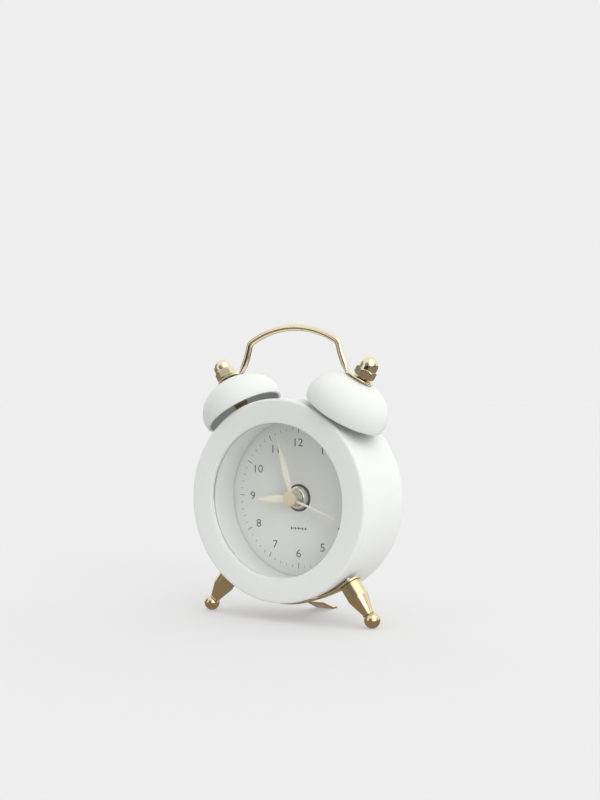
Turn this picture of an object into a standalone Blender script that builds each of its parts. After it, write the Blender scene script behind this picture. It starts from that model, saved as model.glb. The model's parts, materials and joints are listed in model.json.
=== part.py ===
"""Small twin-bell quartz alarm clock, modelled as the assembly it really is.

Blender 4.5, run with: blender --background --python part.py

Frame: metres, +Z up, the clock faces -Y, floor at z = 0, origin below the middle of the
bounding box.  Inside the script all sizes are millimetres, measured from the clock axis:
x to the viewer's right, depth back from the bezel's front face, z up from the clock axis.
"""

import math

import bmesh
import bpy
from mathutils import Vector

MM = 0.001

# ---- where the clock stands -------------------------------------------------------------
AXIS_HEIGHT = 35.4          # clock axis above the floor
MID_DEPTH = 14.325            # depth of the bounding box's middle, world y = 0

# ---- case, bezel, lens, dial --------------------------------------------------------------
CASE_R = 29.8
CASE_WALL = 1.0
CASE_BACK = 26.0            # depth of the case's flat rear edge
CASE_FILLET = 5.5
REAR_OPENING_R = 23.2
WINDOW_R = 22.7
BEZEL_EDGE = 0.8            # rounding of the bezel's outer edge
BEZEL_LIP = 1.6             # depth at which the bezel steps into the case
BEZEL_SKIRT_R = 28.5
BEZEL_SKIRT_DEPTH = 5.0
TOUCH = 0.3                 # clearance left between touching pieces
LENS_R = 25.0
LENS_FRONT = 1.3
LENS_THICK = 0.8
DIAL_R = 26.2
DIAL_FRONT = 13.3
DIAL_THICK = 0.5
DIAL_HOLE_R = 4.15
RING_WALL = 0.9
RING_FLARE = 0.9            # how much wider the dial ring is at the dial

# ---- bells ----------------------------------------------------------------------------------
BELL_TILT = math.radians(31.4)
BELL_X, BELL_Z = 17.47, 25.59       # centre of the rim
BELL_DEPTH = 10.2
BELL_A, BELL_B, BELL_C = 12.55, 9.15, 2.0   # outer ellipse: radius, half height, centre height
BELL_WALL = 0.8
STUD_R = 1.45
STUD_HOLE_R = 1.75
POST_R = 2.15
POST_FOOT = -0.85                   # post's lower face, along the bell axis from the rim
POST_SCREW_R = 0.95
NUT_AF = 5.5
NUT_HEIGHT = 6.3
NUT_HEX = 2.6
NUT_DOME_R = 2.7
SMALL_NUT_AF = 4.0

# ---- handle ---------------------------------------------------------------------------------
HANDLE_CROWN_Z = 51.0
HANDLE_CROWN_R = 28.9               # radius of the long arc over the top
HANDLE_SHOULDER_X = 14.4            # where the long arc ends
HANDLE_SHOULDER_R = 3.2
HANDLE_LEG_ANGLE = math.radians(68.0)
HANDLE_WIRE_R = 1.0
HANDLE_LEG_BOW = 0.33               # how far each leg bows inwards
TAB_HALF_WIDTH = 3.6
TAB_THICK = 0.6

# ---- legs and bracket ---------------------------------------------------------------------
BALL_X, BALL_Z = 28.09, -33.1
BALL_R = 2.3
LEG_DEPTH = 7.8
LEG_TILT = math.radians(36.7)
LEG_LENGTH = 12.05                  # ball centre to the leg's top face
LEG_R = 3.05
LEG_STRAIGHT = 4.6
LEG_NECK_R = 1.5
BRACKET_R = 30.6                    # strap's outer radius under the case
BRACKET_THICK = 0.6
BRACKET_ROUND = math.radians(24.0)  # where the strap leaves the case's curve
BRACKET_HALF_WIDTH = 3.4
BRACKET_TOUCH = 0.1
TAB_REACH = (-3.2, 0.37, 1.7, 2.5, 3.05, 3.3)   # stations of the end tab, from the leg's axis
TONGUE_HALF_WIDTH = 3.0
TONGUE_KNEE = (23.0, -33.1)         # depth and height of the bend in the tongue
FOOT_START, FOOT_END = 28.5, 31.0
LEG_SCREW_R = 1.0

# ---- movement ---------------------------------------------------------------------------------
MODULE_R = 22.5
MODULE_WALL = 1.0
PLATE_FRONT, PLATE_BACK = 14.3, 15.3
HOUSING_FRONT, HOUSING_FLOOR, HOUSING_BACK = 15.6, 22.9, 23.6
COVER_IN, COVER_OUT = 24.4, 25.6
MIDDLE_FRONT, MIDDLE_BACK = 18.6, 19.2
MIDDLE_R = 9.9
ADDENDUM, DEDENDUM = 0.85, 1.25     # in modules
RUN = 0.10                          # running clearance on shafts and pivots
PIVOT_R = 0.3

SECOND_SHAFT_R = 0.35
MINUTE_TUBE = (0.45, 0.80)          # bore and outside radius
HOUR_TUBE = (0.90, 1.25)
ALARM_TUBE = (1.35, 1.70)
BUSH_BORE_R = 1.85

SECOND_HAND_Y, MINUTE_HAND_Y, HOUR_HAND_Y, ALARM_HAND_Y = 8.75, 9.45, 10.15, 10.85
HAND_THICK = 0.25
SECOND_ANGLE, MINUTE_ANGLE, HOUR_ANGLE, ALARM_ANGLE = 108.8, 343.5, 267.0, 261.4

ALARM_LAYER = (15.6, 16.3)
HOUR_LAYER = (16.6, 17.3)
MOTION_LAYER = (17.6, 18.3)
CENTRE_LAYER = (19.5, 20.2)
THIRD_LAYER = (20.5, 21.2)
SECOND_LAYER = (21.5, 22.2)

MOTION_DISTANCE = 7.2               # cannon pinion to minute wheel, and minute wheel to setter
TRAIN_DISTANCE = 7.48               # third wheel to centre
FIFTH_DISTANCE = 7.2
ROTOR_DISTANCE = 6.3
ALARM_DISTANCE = 9.6

BATTERY_R, BATTERY_THICK = 5.8, 5.4
BATTERY_X, BATTERY_Z = 7.9, -13.0
BATTERY_FRONT = 17.9
PIEZO_X, PIEZO_Z, PIEZO_R = -9.2, 10.0, 6.5
SWITCH_Z, SWITCH_TRAVEL = 17.8, 3.2
KNOB_R, KNOB_FRONT, KNOB_BACK = 4.0, 26.0, 29.6
SCREW_CIRCLE_R = 19.6
SCREW_ANGLES = (20.0, 205.0, 275.0)

WHITE = ((0.86, 0.87, 0.85), 0.5, 0.0)
GOLD = ((0.80, 0.66, 0.42), 0.22, 1.0)
NICKEL = ((0.72, 0.70, 0.66), 0.25, 1.0)
BRASS = ((0.74, 0.58, 0.30), 0.35, 1.0)
STEEL = ((0.60, 0.60, 0.62), 0.35, 1.0)
CREAM = ((0.85, 0.82, 0.68), 0.45, 0.0)
PLASTIC = ((0.80, 0.80, 0.78), 0.55, 0.0)
NYLON = ((0.88, 0.86, 0.80), 0.6, 0.0)
BLACK = ((0.03, 0.03, 0.03), 0.5, 0.0)
DIAL_GREY = ((0.70, 0.71, 0.69), 0.7, 0.0)
CLEAR = ((0.95, 0.97, 0.97), 0.05, 0.0)
BOARD = ((0.55, 0.45, 0.20), 0.6, 0.0)
COPPER = ((0.70, 0.32, 0.15), 0.4, 1.0)


# ---- helpers -------------------------------------------------------------------------------

def spot(x, depth, z):
    """World position of a point given from the clock axis and the bezel's face."""
    return Vector((x, depth - MID_DEPTH, z + AXIS_HEIGHT)) * MM


def polar(radius, angle):
    return radius * math.cos(angle), radius * math.sin(angle)


def arc(cx, cy, radius, start, end, steps):
    """Points on an arc, angles in degrees, both ends included."""
    points = []
    for i in range(steps + 1):
        angle = math.radians(start + (end - start) * i / steps)
        points.append((cx + radius * math.cos(angle), cy + radius * math.sin(angle)))
    return points


def circle(radius, sides, cx=0.0, cy=0.0):
    return [(cx + x, cy + y) for x, y in (polar(radius, 2 * math.pi * i / sides) for i in range(sides))]


def rectangle(x0, y0, x1, y1):
    return [(x0, y0), (x1, y0), (x1, y1), (x0, y1)]


def finish_mesh(name, bm, smooth_angle=35.0):
    """Close, orient and shade a bmesh, scaled from millimetres to metres."""
    bmesh.ops.remove_doubles(bm, verts=bm.verts[:], dist=1e-5)
    bmesh.ops.dissolve_degenerate(bm, dist=1e-6, edges=bm.edges[:])
    bmesh.ops.recalc_face_normals(bm, faces=bm.faces[:])
    bmesh.ops.scale(bm, vec=(MM, MM, MM), verts=bm.verts[:])
    mesh = bpy.data.meshes.new(name)
    bm.to_mesh(mesh)
    bm.free()
    mesh.shade_smooth()
    mesh.set_sharp_from_angle(angle=math.radians(smooth_angle))
    return mesh


def place(name, mesh, finish, at, turn=0.0):
    """Make the object; finish None makes a helper that other pieces are cut or joined with."""
    obj = bpy.data.objects.new(name, mesh)
    bpy.context.scene.collection.objects.link(obj)
    obj.location = at
    obj.rotation_euler = (0.0, turn, 0.0)
    if finish is None:
        obj.hide_render = True
        obj.display_type = "WIRE"
        return obj
    colour, roughness, metallic = finish
    material = bpy.data.materials.new(name)
    material.use_nodes = True
    shader = material.node_tree.nodes["Principled BSDF"]
    shader.inputs["Base Color"].default_value = (*colour, 1.0)
    shader.inputs["Roughness"].default_value = roughness
    shader.inputs["Metallic"].default_value = metallic
    mesh.materials.append(material)
    return obj


def turned_mesh(name, profile, sides, axis):
    """Spin a profile of (radius, station) points; it is closed unless both ends are on the axis."""
    bm = bmesh.new()
    along = Vector((0, 1, 0)) if axis == "Y" else Vector((0, 0, 1))
    verts = [bm.verts.new(Vector((r, 0, 0)) + along * s) for r, s in profile]
    pairs = list(zip(verts, verts[1:]))
    if profile[0][0] > 0 or profile[-1][0] > 0:
        pairs.append((verts[-1], verts[0]))
    edges = [bm.edges.new(pair) for pair in pairs]
    bmesh.ops.spin(bm, geom=verts + edges, cent=(0, 0, 0), axis=along, dvec=(0, 0, 0),
                   angle=2 * math.pi, steps=sides, use_merge=True, use_duplicate=False)
    return finish_mesh(name, bm)


def turned(name, profile, sides, finish, x=0.0, z=0.0):
    """A piece turned about an axis parallel to the clock axis; stations are depths."""
    return place(name, turned_mesh(name, profile, sides, "Y"), finish, spot(x, 0, z))


def turned_up(name, profile, sides, finish, at, turn):
    """A piece turned about its own upright axis, then leaned sideways."""
    return place(name, turned_mesh(name, profile, sides, "Z"), finish, at, turn)


def extruded(name, outline, near, far, finish, x=0.0, z=0.0, axis="Y"):
    """A flat outline carried from near to far.  Axis Y: outline in x, z.  Axis X: depth, z.
    Axis Z: outline in x, y."""
    bm = bmesh.new()
    if axis == "Y":
        verts = [bm.verts.new((a, near, b)) for a, b in outline]
        path = Vector((0, far - near, 0))
    elif axis == "X":
        verts = [bm.verts.new((near, a, b)) for a, b in outline]
        path = Vector((far - near, 0, 0))
    else:
        verts = [bm.verts.new((a, b, near)) for a, b in outline]
        path = Vector((0, 0, far - near))
    face = bm.faces.new(verts)
    grown = bmesh.ops.extrude_face_region(bm, geom=[face])
    moved = [v for v in grown["geom"] if isinstance(v, bmesh.types.BMVert)]
    bmesh.ops.translate(bm, vec=path, verts=moved)
    bmesh.ops.recalc_face_normals(bm, faces=bm.faces[:])
    return place(name, finish_mesh(name, bm), finish, spot(x, 0, z))


def boolean(piece, helper, operation):
    modifier = piece.modifiers.new(helper.name, "BOOLEAN")
    modifier.operation = operation
    modifier.solver = "EXACT"
    modifier.object = helper
    return piece


def cut(piece, *helpers):
    for helper in helpers:
        boolean(piece, helper, "DIFFERENCE")
    return piece


def join(piece, *helpers):
    for helper in helpers:
        boolean(piece, helper, "UNION")
    return piece


def rod(name, radius, near, far, sides=12, x=0.0, z=0.0, finish=None):
    """A plain round bar along the clock axis; also used as a drill."""
    return turned(name, [(0, near), (radius, near), (radius, far), (0, far)], sides, finish, x, z)


def block(name, x0, x1, depth0, depth1, z0, z1, finish=None):
    return extruded(name, rectangle(x0, z0, x1, z1), depth0, depth1, finish)


# ---- gears -----------------------------------------------------------------------------------

def tooth_outline(teeth, module, phase, slim=1.0):
    """Gear outline in x, z; one tooth stands at the phase angle."""
    pitch = 2 * math.pi / teeth
    tip = module * (teeth / 2 + ADDENDUM)
    root = module * (teeth / 2 - DEDENDUM)
    points = []
    for i in range(teeth):
        middle = phase + i * pitch
        for radius, half in ((root, -0.33), (tip, -0.11), (tip, 0.11), (root, 0.33)):
            points.append(polar(radius, middle + half * slim * pitch))
    return points


def pinion_slim(teeth):
    """Low-numbered pinions have thinner leaves."""
    return 0.85 if teeth <= 12 else 1.0


def gear_blank(name, teeth, module, layer, phase, x=0.0, z=0.0, finish=None):
    outline = tooth_outline(teeth, module, phase, pinion_slim(teeth))
    return extruded(name, outline, layer[0], layer[1], finish, x, z)


def mesh_phase(teeth, towards):
    """Phase that puts a gap, not a tooth, on the line to the driving gear."""
    return towards + math.pi / teeth


# ---- case ------------------------------------------------------------------------------------

def bell_axis(side):
    return Vector((side * math.sin(BELL_TILT), 0, math.cos(BELL_TILT)))


def bell_point(side, height):
    """A point on a bell's axis, by height above its rim, as x, z."""
    axis = bell_axis(side)
    return side * BELL_X + axis.x * height, BELL_Z + axis.z * height


def leg_point(side, rise):
    """A point on a leg's axis, by distance up from the ball's centre, as x, z."""
    return side * (BALL_X - math.sin(LEG_TILT) * rise), BALL_Z + math.cos(LEG_TILT) * rise


def make_case():
    inner = CASE_R - CASE_WALL
    flat_r = CASE_R - CASE_FILLET
    turn_depth = CASE_BACK - CASE_FILLET
    front = BEZEL_LIP + TOUCH
    profile = [(inner, front), (CASE_R, front), (CASE_R, turn_depth)]
    profile += arc(flat_r, turn_depth, CASE_FILLET, 0, 90, 4)[1:]
    profile += [(REAR_OPENING_R, CASE_BACK), (REAR_OPENING_R, CASE_BACK - CASE_WALL)]
    profile += arc(flat_r, turn_depth, CASE_FILLET - CASE_WALL, 90, 0, 3)
    shell = turned("case_shell", profile, 44, WHITE)
    for side, word in ((-1, "left"), (1, "right")):
        x, z = bell_point(side, POST_FOOT - 3.5)
        drill = turned_up("drill_post_" + word, [(0, 0), (POST_SCREW_R + TOUCH, 0),
                          (POST_SCREW_R + TOUCH, 6), (0, 6)], 12, None,
                          spot(x, BELL_DEPTH, z), side * BELL_TILT)
        x, z = leg_point(side, LEG_LENGTH)
        bore = turned_up("drill_leg_" + word, [(0, -1), (LEG_SCREW_R + TOUCH, -1),
                         (LEG_SCREW_R + TOUCH, 5), (0, 5)], 12, None,
                         spot(x, LEG_DEPTH, z), -side * LEG_TILT)
        cut(shell, drill, bore)
    return shell


def make_front():
    edge_r = CASE_R - BEZEL_EDGE
    skirt_in = BEZEL_SKIRT_R - BEZEL_EDGE
    profile = [(WINDOW_R, 0.2), (WINDOW_R + 0.2, 0)]
    profile += arc(edge_r, BEZEL_EDGE, BEZEL_EDGE, -90, 0, 3)
    profile += [(CASE_R, BEZEL_LIP), (BEZEL_SKIRT_R, BEZEL_LIP), (BEZEL_SKIRT_R, BEZEL_SKIRT_DEPTH),
                (skirt_in, BEZEL_SKIRT_DEPTH), (skirt_in, 1.0), (WINDOW_R, 1.0)]
    turned("front_bezel", profile, 44, WHITE)
    rod("lens", LENS_R, LENS_FRONT, LENS_FRONT + LENS_THICK, 40, finish=CLEAR)
    top = LENS_FRONT + LENS_THICK + TOUCH
    bottom = DIAL_FRONT - TOUCH
    outer = WINDOW_R + RING_WALL
    wide = outer + RING_FLARE
    turned("dial_ring", [(WINDOW_R, top), (outer, top), (wide, bottom - 1.0), (DIAL_R, bottom - 1.0),
           (DIAL_R, bottom), (WINDOW_R + RING_FLARE, bottom)], 40, WHITE)
    turned("dial", [(DIAL_HOLE_R, DIAL_FRONT), (DIAL_R, DIAL_FRONT), (DIAL_R, DIAL_FRONT + DIAL_THICK),
           (DIAL_HOLE_R, DIAL_FRONT + DIAL_THICK)], 36, DIAL_GREY)


# ---- bells and handle ----------------------------------------------------------------------

def bell_profile():
    """Outer wall up from the rim, inner wall back down; the hole is at the crown."""
    def wall(shrink, steps):
        start = math.asin(-BELL_C / (BELL_B - shrink))
        stop = math.acos(STUD_HOLE_R / (BELL_A - shrink))
        points = []
        for i in range(steps + 1):
            angle = start + (stop - start) * i / steps
            points.append(((BELL_A - shrink) * math.cos(angle),
                           BELL_C + (BELL_B - shrink) * math.sin(angle)))
        return points
    return wall(0.0, 7) + list(reversed(wall(BELL_WALL, 6)))


def hexagon(across_flats):
    return circle(across_flats / 2 / math.cos(math.pi / 6), 6)


def upright(name, outline, low, high, finish, at, turn):
    """A prism standing on its own axis, leaned sideways by turn."""
    prism = extruded(name, outline, low, high, finish, axis="Z")
    prism.location = at
    prism.rotation_euler = (0.0, turn, 0.0)
    return prism


def make_bells():
    crown = BELL_C + BELL_B
    nut_foot = crown + TOUCH + TAB_THICK + TOUCH
    shoulder = crown - BELL_WALL - TOUCH
    stud_top = nut_foot + NUT_HEIGHT - 2.6
    inner_end = POST_FOOT - 3.4
    for side, word in ((-1, "left"), (1, "right")):
        at = spot(side * BELL_X, BELL_DEPTH, BELL_Z)
        turn = side * BELL_TILT
        turned_up("bell_" + word, bell_profile(), 28, WHITE, at, turn)
        post = [(0, inner_end), (POST_SCREW_R, inner_end), (POST_SCREW_R, POST_FOOT),
                (POST_R, POST_FOOT), (POST_R, shoulder), (STUD_R, shoulder), (STUD_R, stud_top),
                (0, stud_top)]
        turned_up("bell_post_" + word, post, 12, GOLD, at, turn)
        nut = upright("acorn_nut_" + word, hexagon(NUT_AF), nut_foot, nut_foot + NUT_HEX, GOLD, at, turn)
        dome = [(0, nut_foot + 1.0), (NUT_DOME_R, nut_foot + 1.0)]
        dome += arc(0, nut_foot + NUT_HEIGHT - NUT_DOME_R, NUT_DOME_R, 0, 90, 4)
        cap = turned_up("cap_" + word, dome, 16, None, at, turn)
        bore = turned_up("bore_" + word, [(0, nut_foot - 1), (STUD_HOLE_R, nut_foot - 1),
                         (STUD_HOLE_R, stud_top + TOUCH), (0, stud_top + TOUCH)], 12, None, at, turn)
        join(nut, cap)
        cut(nut, bore)
        wall_gap = POST_FOOT - CASE_WALL - 0.9
        lock = upright("post_nut_" + word, hexagon(SMALL_NUT_AF), wall_gap - 1.4, wall_gap, STEEL, at, turn)
        tap = turned_up("tap_" + word, [(0, wall_gap - 3), (POST_SCREW_R + 0.15, wall_gap - 3),
                        (POST_SCREW_R + 0.15, wall_gap + 1), (0, wall_gap + 1)], 10, None, at, turn)
        cut(lock, tap)


def handle_route():
    """Half of the handle's centre line in x, z, from the crown to the tab's outer end, with the
    flattening (0 round wire, 1 flat tab) at each point."""
    lean = math.asin(HANDLE_SHOULDER_X / HANDLE_CROWN_R)
    centre_z = HANDLE_CROWN_Z - HANDLE_CROWN_R
    route = []
    for i in range(6):
        angle = lean * i / 6
        route.append((HANDLE_CROWN_R * math.sin(angle), centre_z + HANDLE_CROWN_R * math.cos(angle), 0.0))
    bend_x = (HANDLE_CROWN_R - HANDLE_SHOULDER_R) * math.sin(lean)
    bend_z = centre_z + (HANDLE_CROWN_R - HANDLE_SHOULDER_R) * math.cos(lean)
    for i in range(6):
        angle = lean + (HANDLE_LEG_ANGLE - lean) * i / 5
        route.append((bend_x + HANDLE_SHOULDER_R * math.sin(angle),
                      bend_z + HANDLE_SHOULDER_R * math.cos(angle), 0.0))
    tab = []
    for across in (-5.2, -4.6, -3.9, -3.0, -2.0, -0.7, 0.7, 2.0, 2.9, 3.6):
        height = BELL_C + BELL_B * math.sqrt(1 - (across / BELL_A) ** 2) + TOUCH + TAB_THICK / 2
        x, z = bell_point(1, height)
        tab.append((x + across * math.cos(BELL_TILT), z - across * math.sin(BELL_TILT),
                    min(1.0, (across + 6.2) / 1.6)))
    x, z, _ = route[-1]
    foot_x, foot_z, _ = tab[0]
    for t in (0.3, 0.6, 0.84):
        route.append((x + (foot_x - x) * t - HANDLE_LEG_BOW * math.sin(math.pi * t),
                      z + (foot_z - z) * t, 0.25 if t > 0.8 else 0.0))
    return route + tab


def tab_half_width(across):
    """Plan outline of the tab: round about the stud, necking to the wire."""
    if across > 0:
        return math.sqrt(max(0.35, TAB_HALF_WIDTH ** 2 - across ** 2))
    fade = math.cos(min(1, across / -5.4) * math.pi / 2) ** 0.8
    return HANDLE_WIRE_R + (TAB_HALF_WIDTH - HANDLE_WIRE_R) * fade


def make_handle():
    half = handle_route()
    full = [(-x, z, f) for x, z, f in reversed(half[1:])] + half
    sides = 8
    bm = bmesh.new()
    rings = []
    for i, (x, z, flat) in enumerate(full):
        x0, z0, _ = full[max(0, i - 1)]
        x1, z1, _ = full[min(len(full) - 1, i + 1)]
        along = Vector((x1 - x0, 0, z1 - z0)).normalized()
        out = Vector((-along.z, 0, along.x))
        across = (abs(x) - BELL_X - math.sin(BELL_TILT) * (BELL_B + BELL_C)) / math.cos(BELL_TILT)
        wide = HANDLE_WIRE_R + flat * (tab_half_width(across) - HANDLE_WIRE_R)
        thick = HANDLE_WIRE_R + flat * (TAB_THICK / 2 - HANDLE_WIRE_R)
        square = 1.0 - 0.55 * flat
        ring = []
        for k in range(sides):
            angle = 2 * math.pi * (k + 0.5) / sides
            c, s = math.cos(angle), math.sin(angle)
            a = math.copysign(abs(c) ** square, c) * wide
            b = math.copysign(abs(s) ** square, s) * thick
            ring.append(bm.verts.new(Vector((x, 0, z)) + Vector((0, a, 0)) + out * b))
        rings.append(ring)
    for near, far in zip(rings, rings[1:]):
        for k in range(sides):
            bm.faces.new((near[k], near[(k + 1) % sides], far[(k + 1) % sides], far[k]))
    bm.faces.new(rings[0])
    bm.faces.new(rings[-1])
    handle = place("handle", finish_mesh("handle", bm, 50), GOLD, spot(0, BELL_DEPTH, 0))
    for side, word in ((-1, "left"), (1, "right")):
        drill = turned_up("tab_hole_" + word, [(0, 9), (STUD_HOLE_R, 9), (STUD_HOLE_R, 15), (0, 15)], 12,
                          None, spot(side * BELL_X, BELL_DEPTH, BELL_Z), side * BELL_TILT)
        cut(handle, drill)


# ---- legs --------------------------------------------------------------------------------------

def make_legs():
    neck_height = BALL_R * math.cos(math.asin(LEG_NECK_R / BALL_R))
    outline = arc(0, 0, BALL_R, -90, math.degrees(math.asin(neck_height / BALL_R)), 6)
    outline[0] = (0, -BALL_R)
    outline += [(LEG_NECK_R, neck_height + 0.3), (LEG_R, LEG_LENGTH - LEG_STRAIGHT),
                (LEG_R - 0.05, LEG_LENGTH - 0.2), (LEG_R - 0.25, LEG_LENGTH), (0, LEG_LENGTH)]
    head_low = LEG_LENGTH + 3.25
    for side, word in ((-1, "left"), (1, "right")):
        at = spot(side * BALL_X, LEG_DEPTH, BALL_Z)
        turn = -side * LEG_TILT
        leg = turned_up("leg_" + word, outline, 16, GOLD, at, turn)
        bore = turned_up("leg_bore_" + word, [(0, LEG_LENGTH - 5), (LEG_SCREW_R + 0.2, LEG_LENGTH - 5),
                         (LEG_SCREW_R + 0.2, LEG_LENGTH + 1), (0, LEG_LENGTH + 1)], 12, None, at, turn)
        cut(leg, bore)
        screw = [(0, LEG_LENGTH - 4.6), (LEG_SCREW_R, LEG_LENGTH - 4.6), (LEG_SCREW_R, head_low),
                 (2.0, head_low), (2.0, head_low + 0.9), (1.3, head_low + 1.3), (0, head_low + 1.3)]
        turned_up("leg_screw_" + word, screw, 12, STEEL, at, turn)


def bracket_route():
    """Half of the strap's outer line as x, z and half width, from the bottom to the end tab."""
    route = []
    for i in range(7):
        angle = BRACKET_ROUND * i / 6
        route.append((BRACKET_R * math.sin(angle), -BRACKET_R * math.cos(angle), BRACKET_HALF_WIDTH))
    top_x, top_z = leg_point(1, LEG_LENGTH + BRACKET_TOUCH)
    for reach in TAB_REACH:
        half = math.sqrt((BRACKET_HALF_WIDTH + 0.1) ** 2 - max(0.0, reach) ** 2)
        route.append((top_x + reach * math.cos(LEG_TILT), top_z + reach * math.sin(LEG_TILT),
                      min(half, BRACKET_HALF_WIDTH)))
    return route


def make_bracket():
    """Sheet strap under the case from leg to leg, with a tongue back and down to the floor."""
    half = bracket_route()
    full = [(-x, z, w) for x, z, w in reversed(half[1:])] + half
    bm = bmesh.new()
    rings = []
    for i, (x, z, wide) in enumerate(full):
        x0, z0, _ = full[max(0, i - 1)]
        x1, z1, _ = full[min(len(full) - 1, i + 1)]
        along = Vector((x1 - x0, 0, z1 - z0)).normalized()
        inward = Vector((-along.z, 0, along.x)) * BRACKET_THICK
        front, rear = Vector((x, -wide, z)), Vector((x, wide, z))
        rings.append([bm.verts.new(v) for v in (front, rear, rear + inward, front + inward)])
    for near, far in zip(rings, rings[1:]):
        for k in range(4):
            bm.faces.new((near[k], near[(k + 1) % 4], far[(k + 1) % 4], far[k]))
    bm.faces.new(rings[0])
    bm.faces.new(rings[-1])
    strap = place("leg_bracket", finish_mesh("leg_bracket", bm), GOLD, spot(0, LEG_DEPTH, 0))
    rear_edge = LEG_DEPTH + BRACKET_HALF_WIDTH
    start = rear_edge - 2.5
    floor = -AXIS_HEIGHT
    top = -BRACKET_R + BRACKET_THICK / 2
    low = -BRACKET_R - 0.25
    knee_depth, knee_z = TONGUE_KNEE
    side_view = [(start, top), (start, top - 0.1), (rear_edge + 0.8, low), (knee_depth, knee_z),
                 (FOOT_START, floor), (FOOT_END, floor), (FOOT_END, floor + BRACKET_THICK),
                 (FOOT_START + 0.2, floor + BRACKET_THICK), (knee_depth + 0.1, knee_z + BRACKET_THICK),
                 (rear_edge + 1.0, low + BRACKET_THICK), (rear_edge - 0.4, top)]
    tongue = extruded("tongue", side_view, -TONGUE_HALF_WIDTH, TONGUE_HALF_WIDTH, None, axis="X")
    join(strap, tongue)
    for side, word in ((-1, "left"), (1, "right")):
        x, z = leg_point(side, LEG_LENGTH)
        drill = turned_up("bracket_hole_" + word, [(0, -1), (LEG_SCREW_R + TOUCH, -1),
                          (LEG_SCREW_R + TOUCH, 3), (0, 3)], 12, None, spot(x, LEG_DEPTH, z),
                          -side * LEG_TILT)
        cut(strap, drill)


# ---- hands -------------------------------------------------------------------------------------

def hand_outline(length, root_half, belly_half, belly_at, tip_half):
    """A leaf pointing up +z from the boss, as x, z."""
    right = [(root_half, 0.0), (belly_half, length * belly_at), (tip_half, length)]
    return right + [(-x, z) for x, z in reversed(right)]


def lean(outline, clock_degrees):
    """Turn an outline clockwise, as the viewer sees it."""
    angle = math.radians(clock_degrees)
    return [(x * math.cos(angle) + z * math.sin(angle), z * math.cos(angle) - x * math.sin(angle))
            for x, z in outline]


def make_hand(name, blade, degrees, depth, boss_r, bore_r):
    disc = turned(name, [(bore_r, depth), (boss_r, depth), (boss_r, depth + 0.45),
                  (bore_r, depth + 0.45)], 16, CREAM)
    leaf = extruded(name + "_leaf", lean(blade, degrees), depth + 0.02, depth + HAND_THICK, None)
    core = rod(name + "_core", bore_r, depth - 1, depth + 1.5, 16)
    join(disc, leaf)
    cut(disc, core)


def make_hands():
    make_hand("minute_hand", hand_outline(19.1, 0.45, 1.0, 0.42, 0.10), MINUTE_ANGLE, MINUTE_HAND_Y,
              1.9, MINUTE_TUBE[1] + 0.06)
    make_hand("hour_hand", hand_outline(13.4, 0.7, 1.15, 0.40, 0.15), HOUR_ANGLE, HOUR_HAND_Y,
              2.2, HOUR_TUBE[1] + 0.06)
    make_hand("alarm_hand", hand_outline(12.0, 0.45, 0.6, 0.5, 0.15), ALARM_ANGLE, ALARM_HAND_Y,
              2.4, ALARM_TUBE[1] + 0.06)
    make_hand("second_hand", hand_outline(16.7, 0.35, 0.35, 0.5, 0.15), SECOND_ANGLE, SECOND_HAND_Y,
              1.3, SECOND_SHAFT_R + 0.06)
    face = SECOND_HAND_Y - TOUCH
    cap = [(0, face - 0.6), (1.9, face - 0.6), (2.2, face - 0.4), (2.2, face), (0, face)]
    turned("hand_cap", cap, 20, BRASS)


# ---- gear train --------------------------------------------------------------------------------

def train_places():
    fifth_angle = math.radians(240)
    fifth = polar(FIFTH_DISTANCE, fifth_angle)
    rotor_angle = math.radians(200)
    rotor_step = polar(ROTOR_DISTANCE, rotor_angle)
    setter_angle = math.radians(-30)      # a tooth of the minute wheel points this way
    setter_step = polar(MOTION_DISTANCE, setter_angle)
    return {
        "third": (0.0, TRAIN_DISTANCE),
        "fifth": fifth,
        "fifth_angle": fifth_angle,
        "rotor": (fifth[0] + rotor_step[0], fifth[1] + rotor_step[1]),
        "rotor_angle": rotor_angle,
        "motion": (MOTION_DISTANCE, 0.0),
        "setter": (MOTION_DISTANCE + setter_step[0], setter_step[1]),
        "setter_angle": setter_angle,
        "alarm": (-ALARM_DISTANCE, 0.0),
    }


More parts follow.
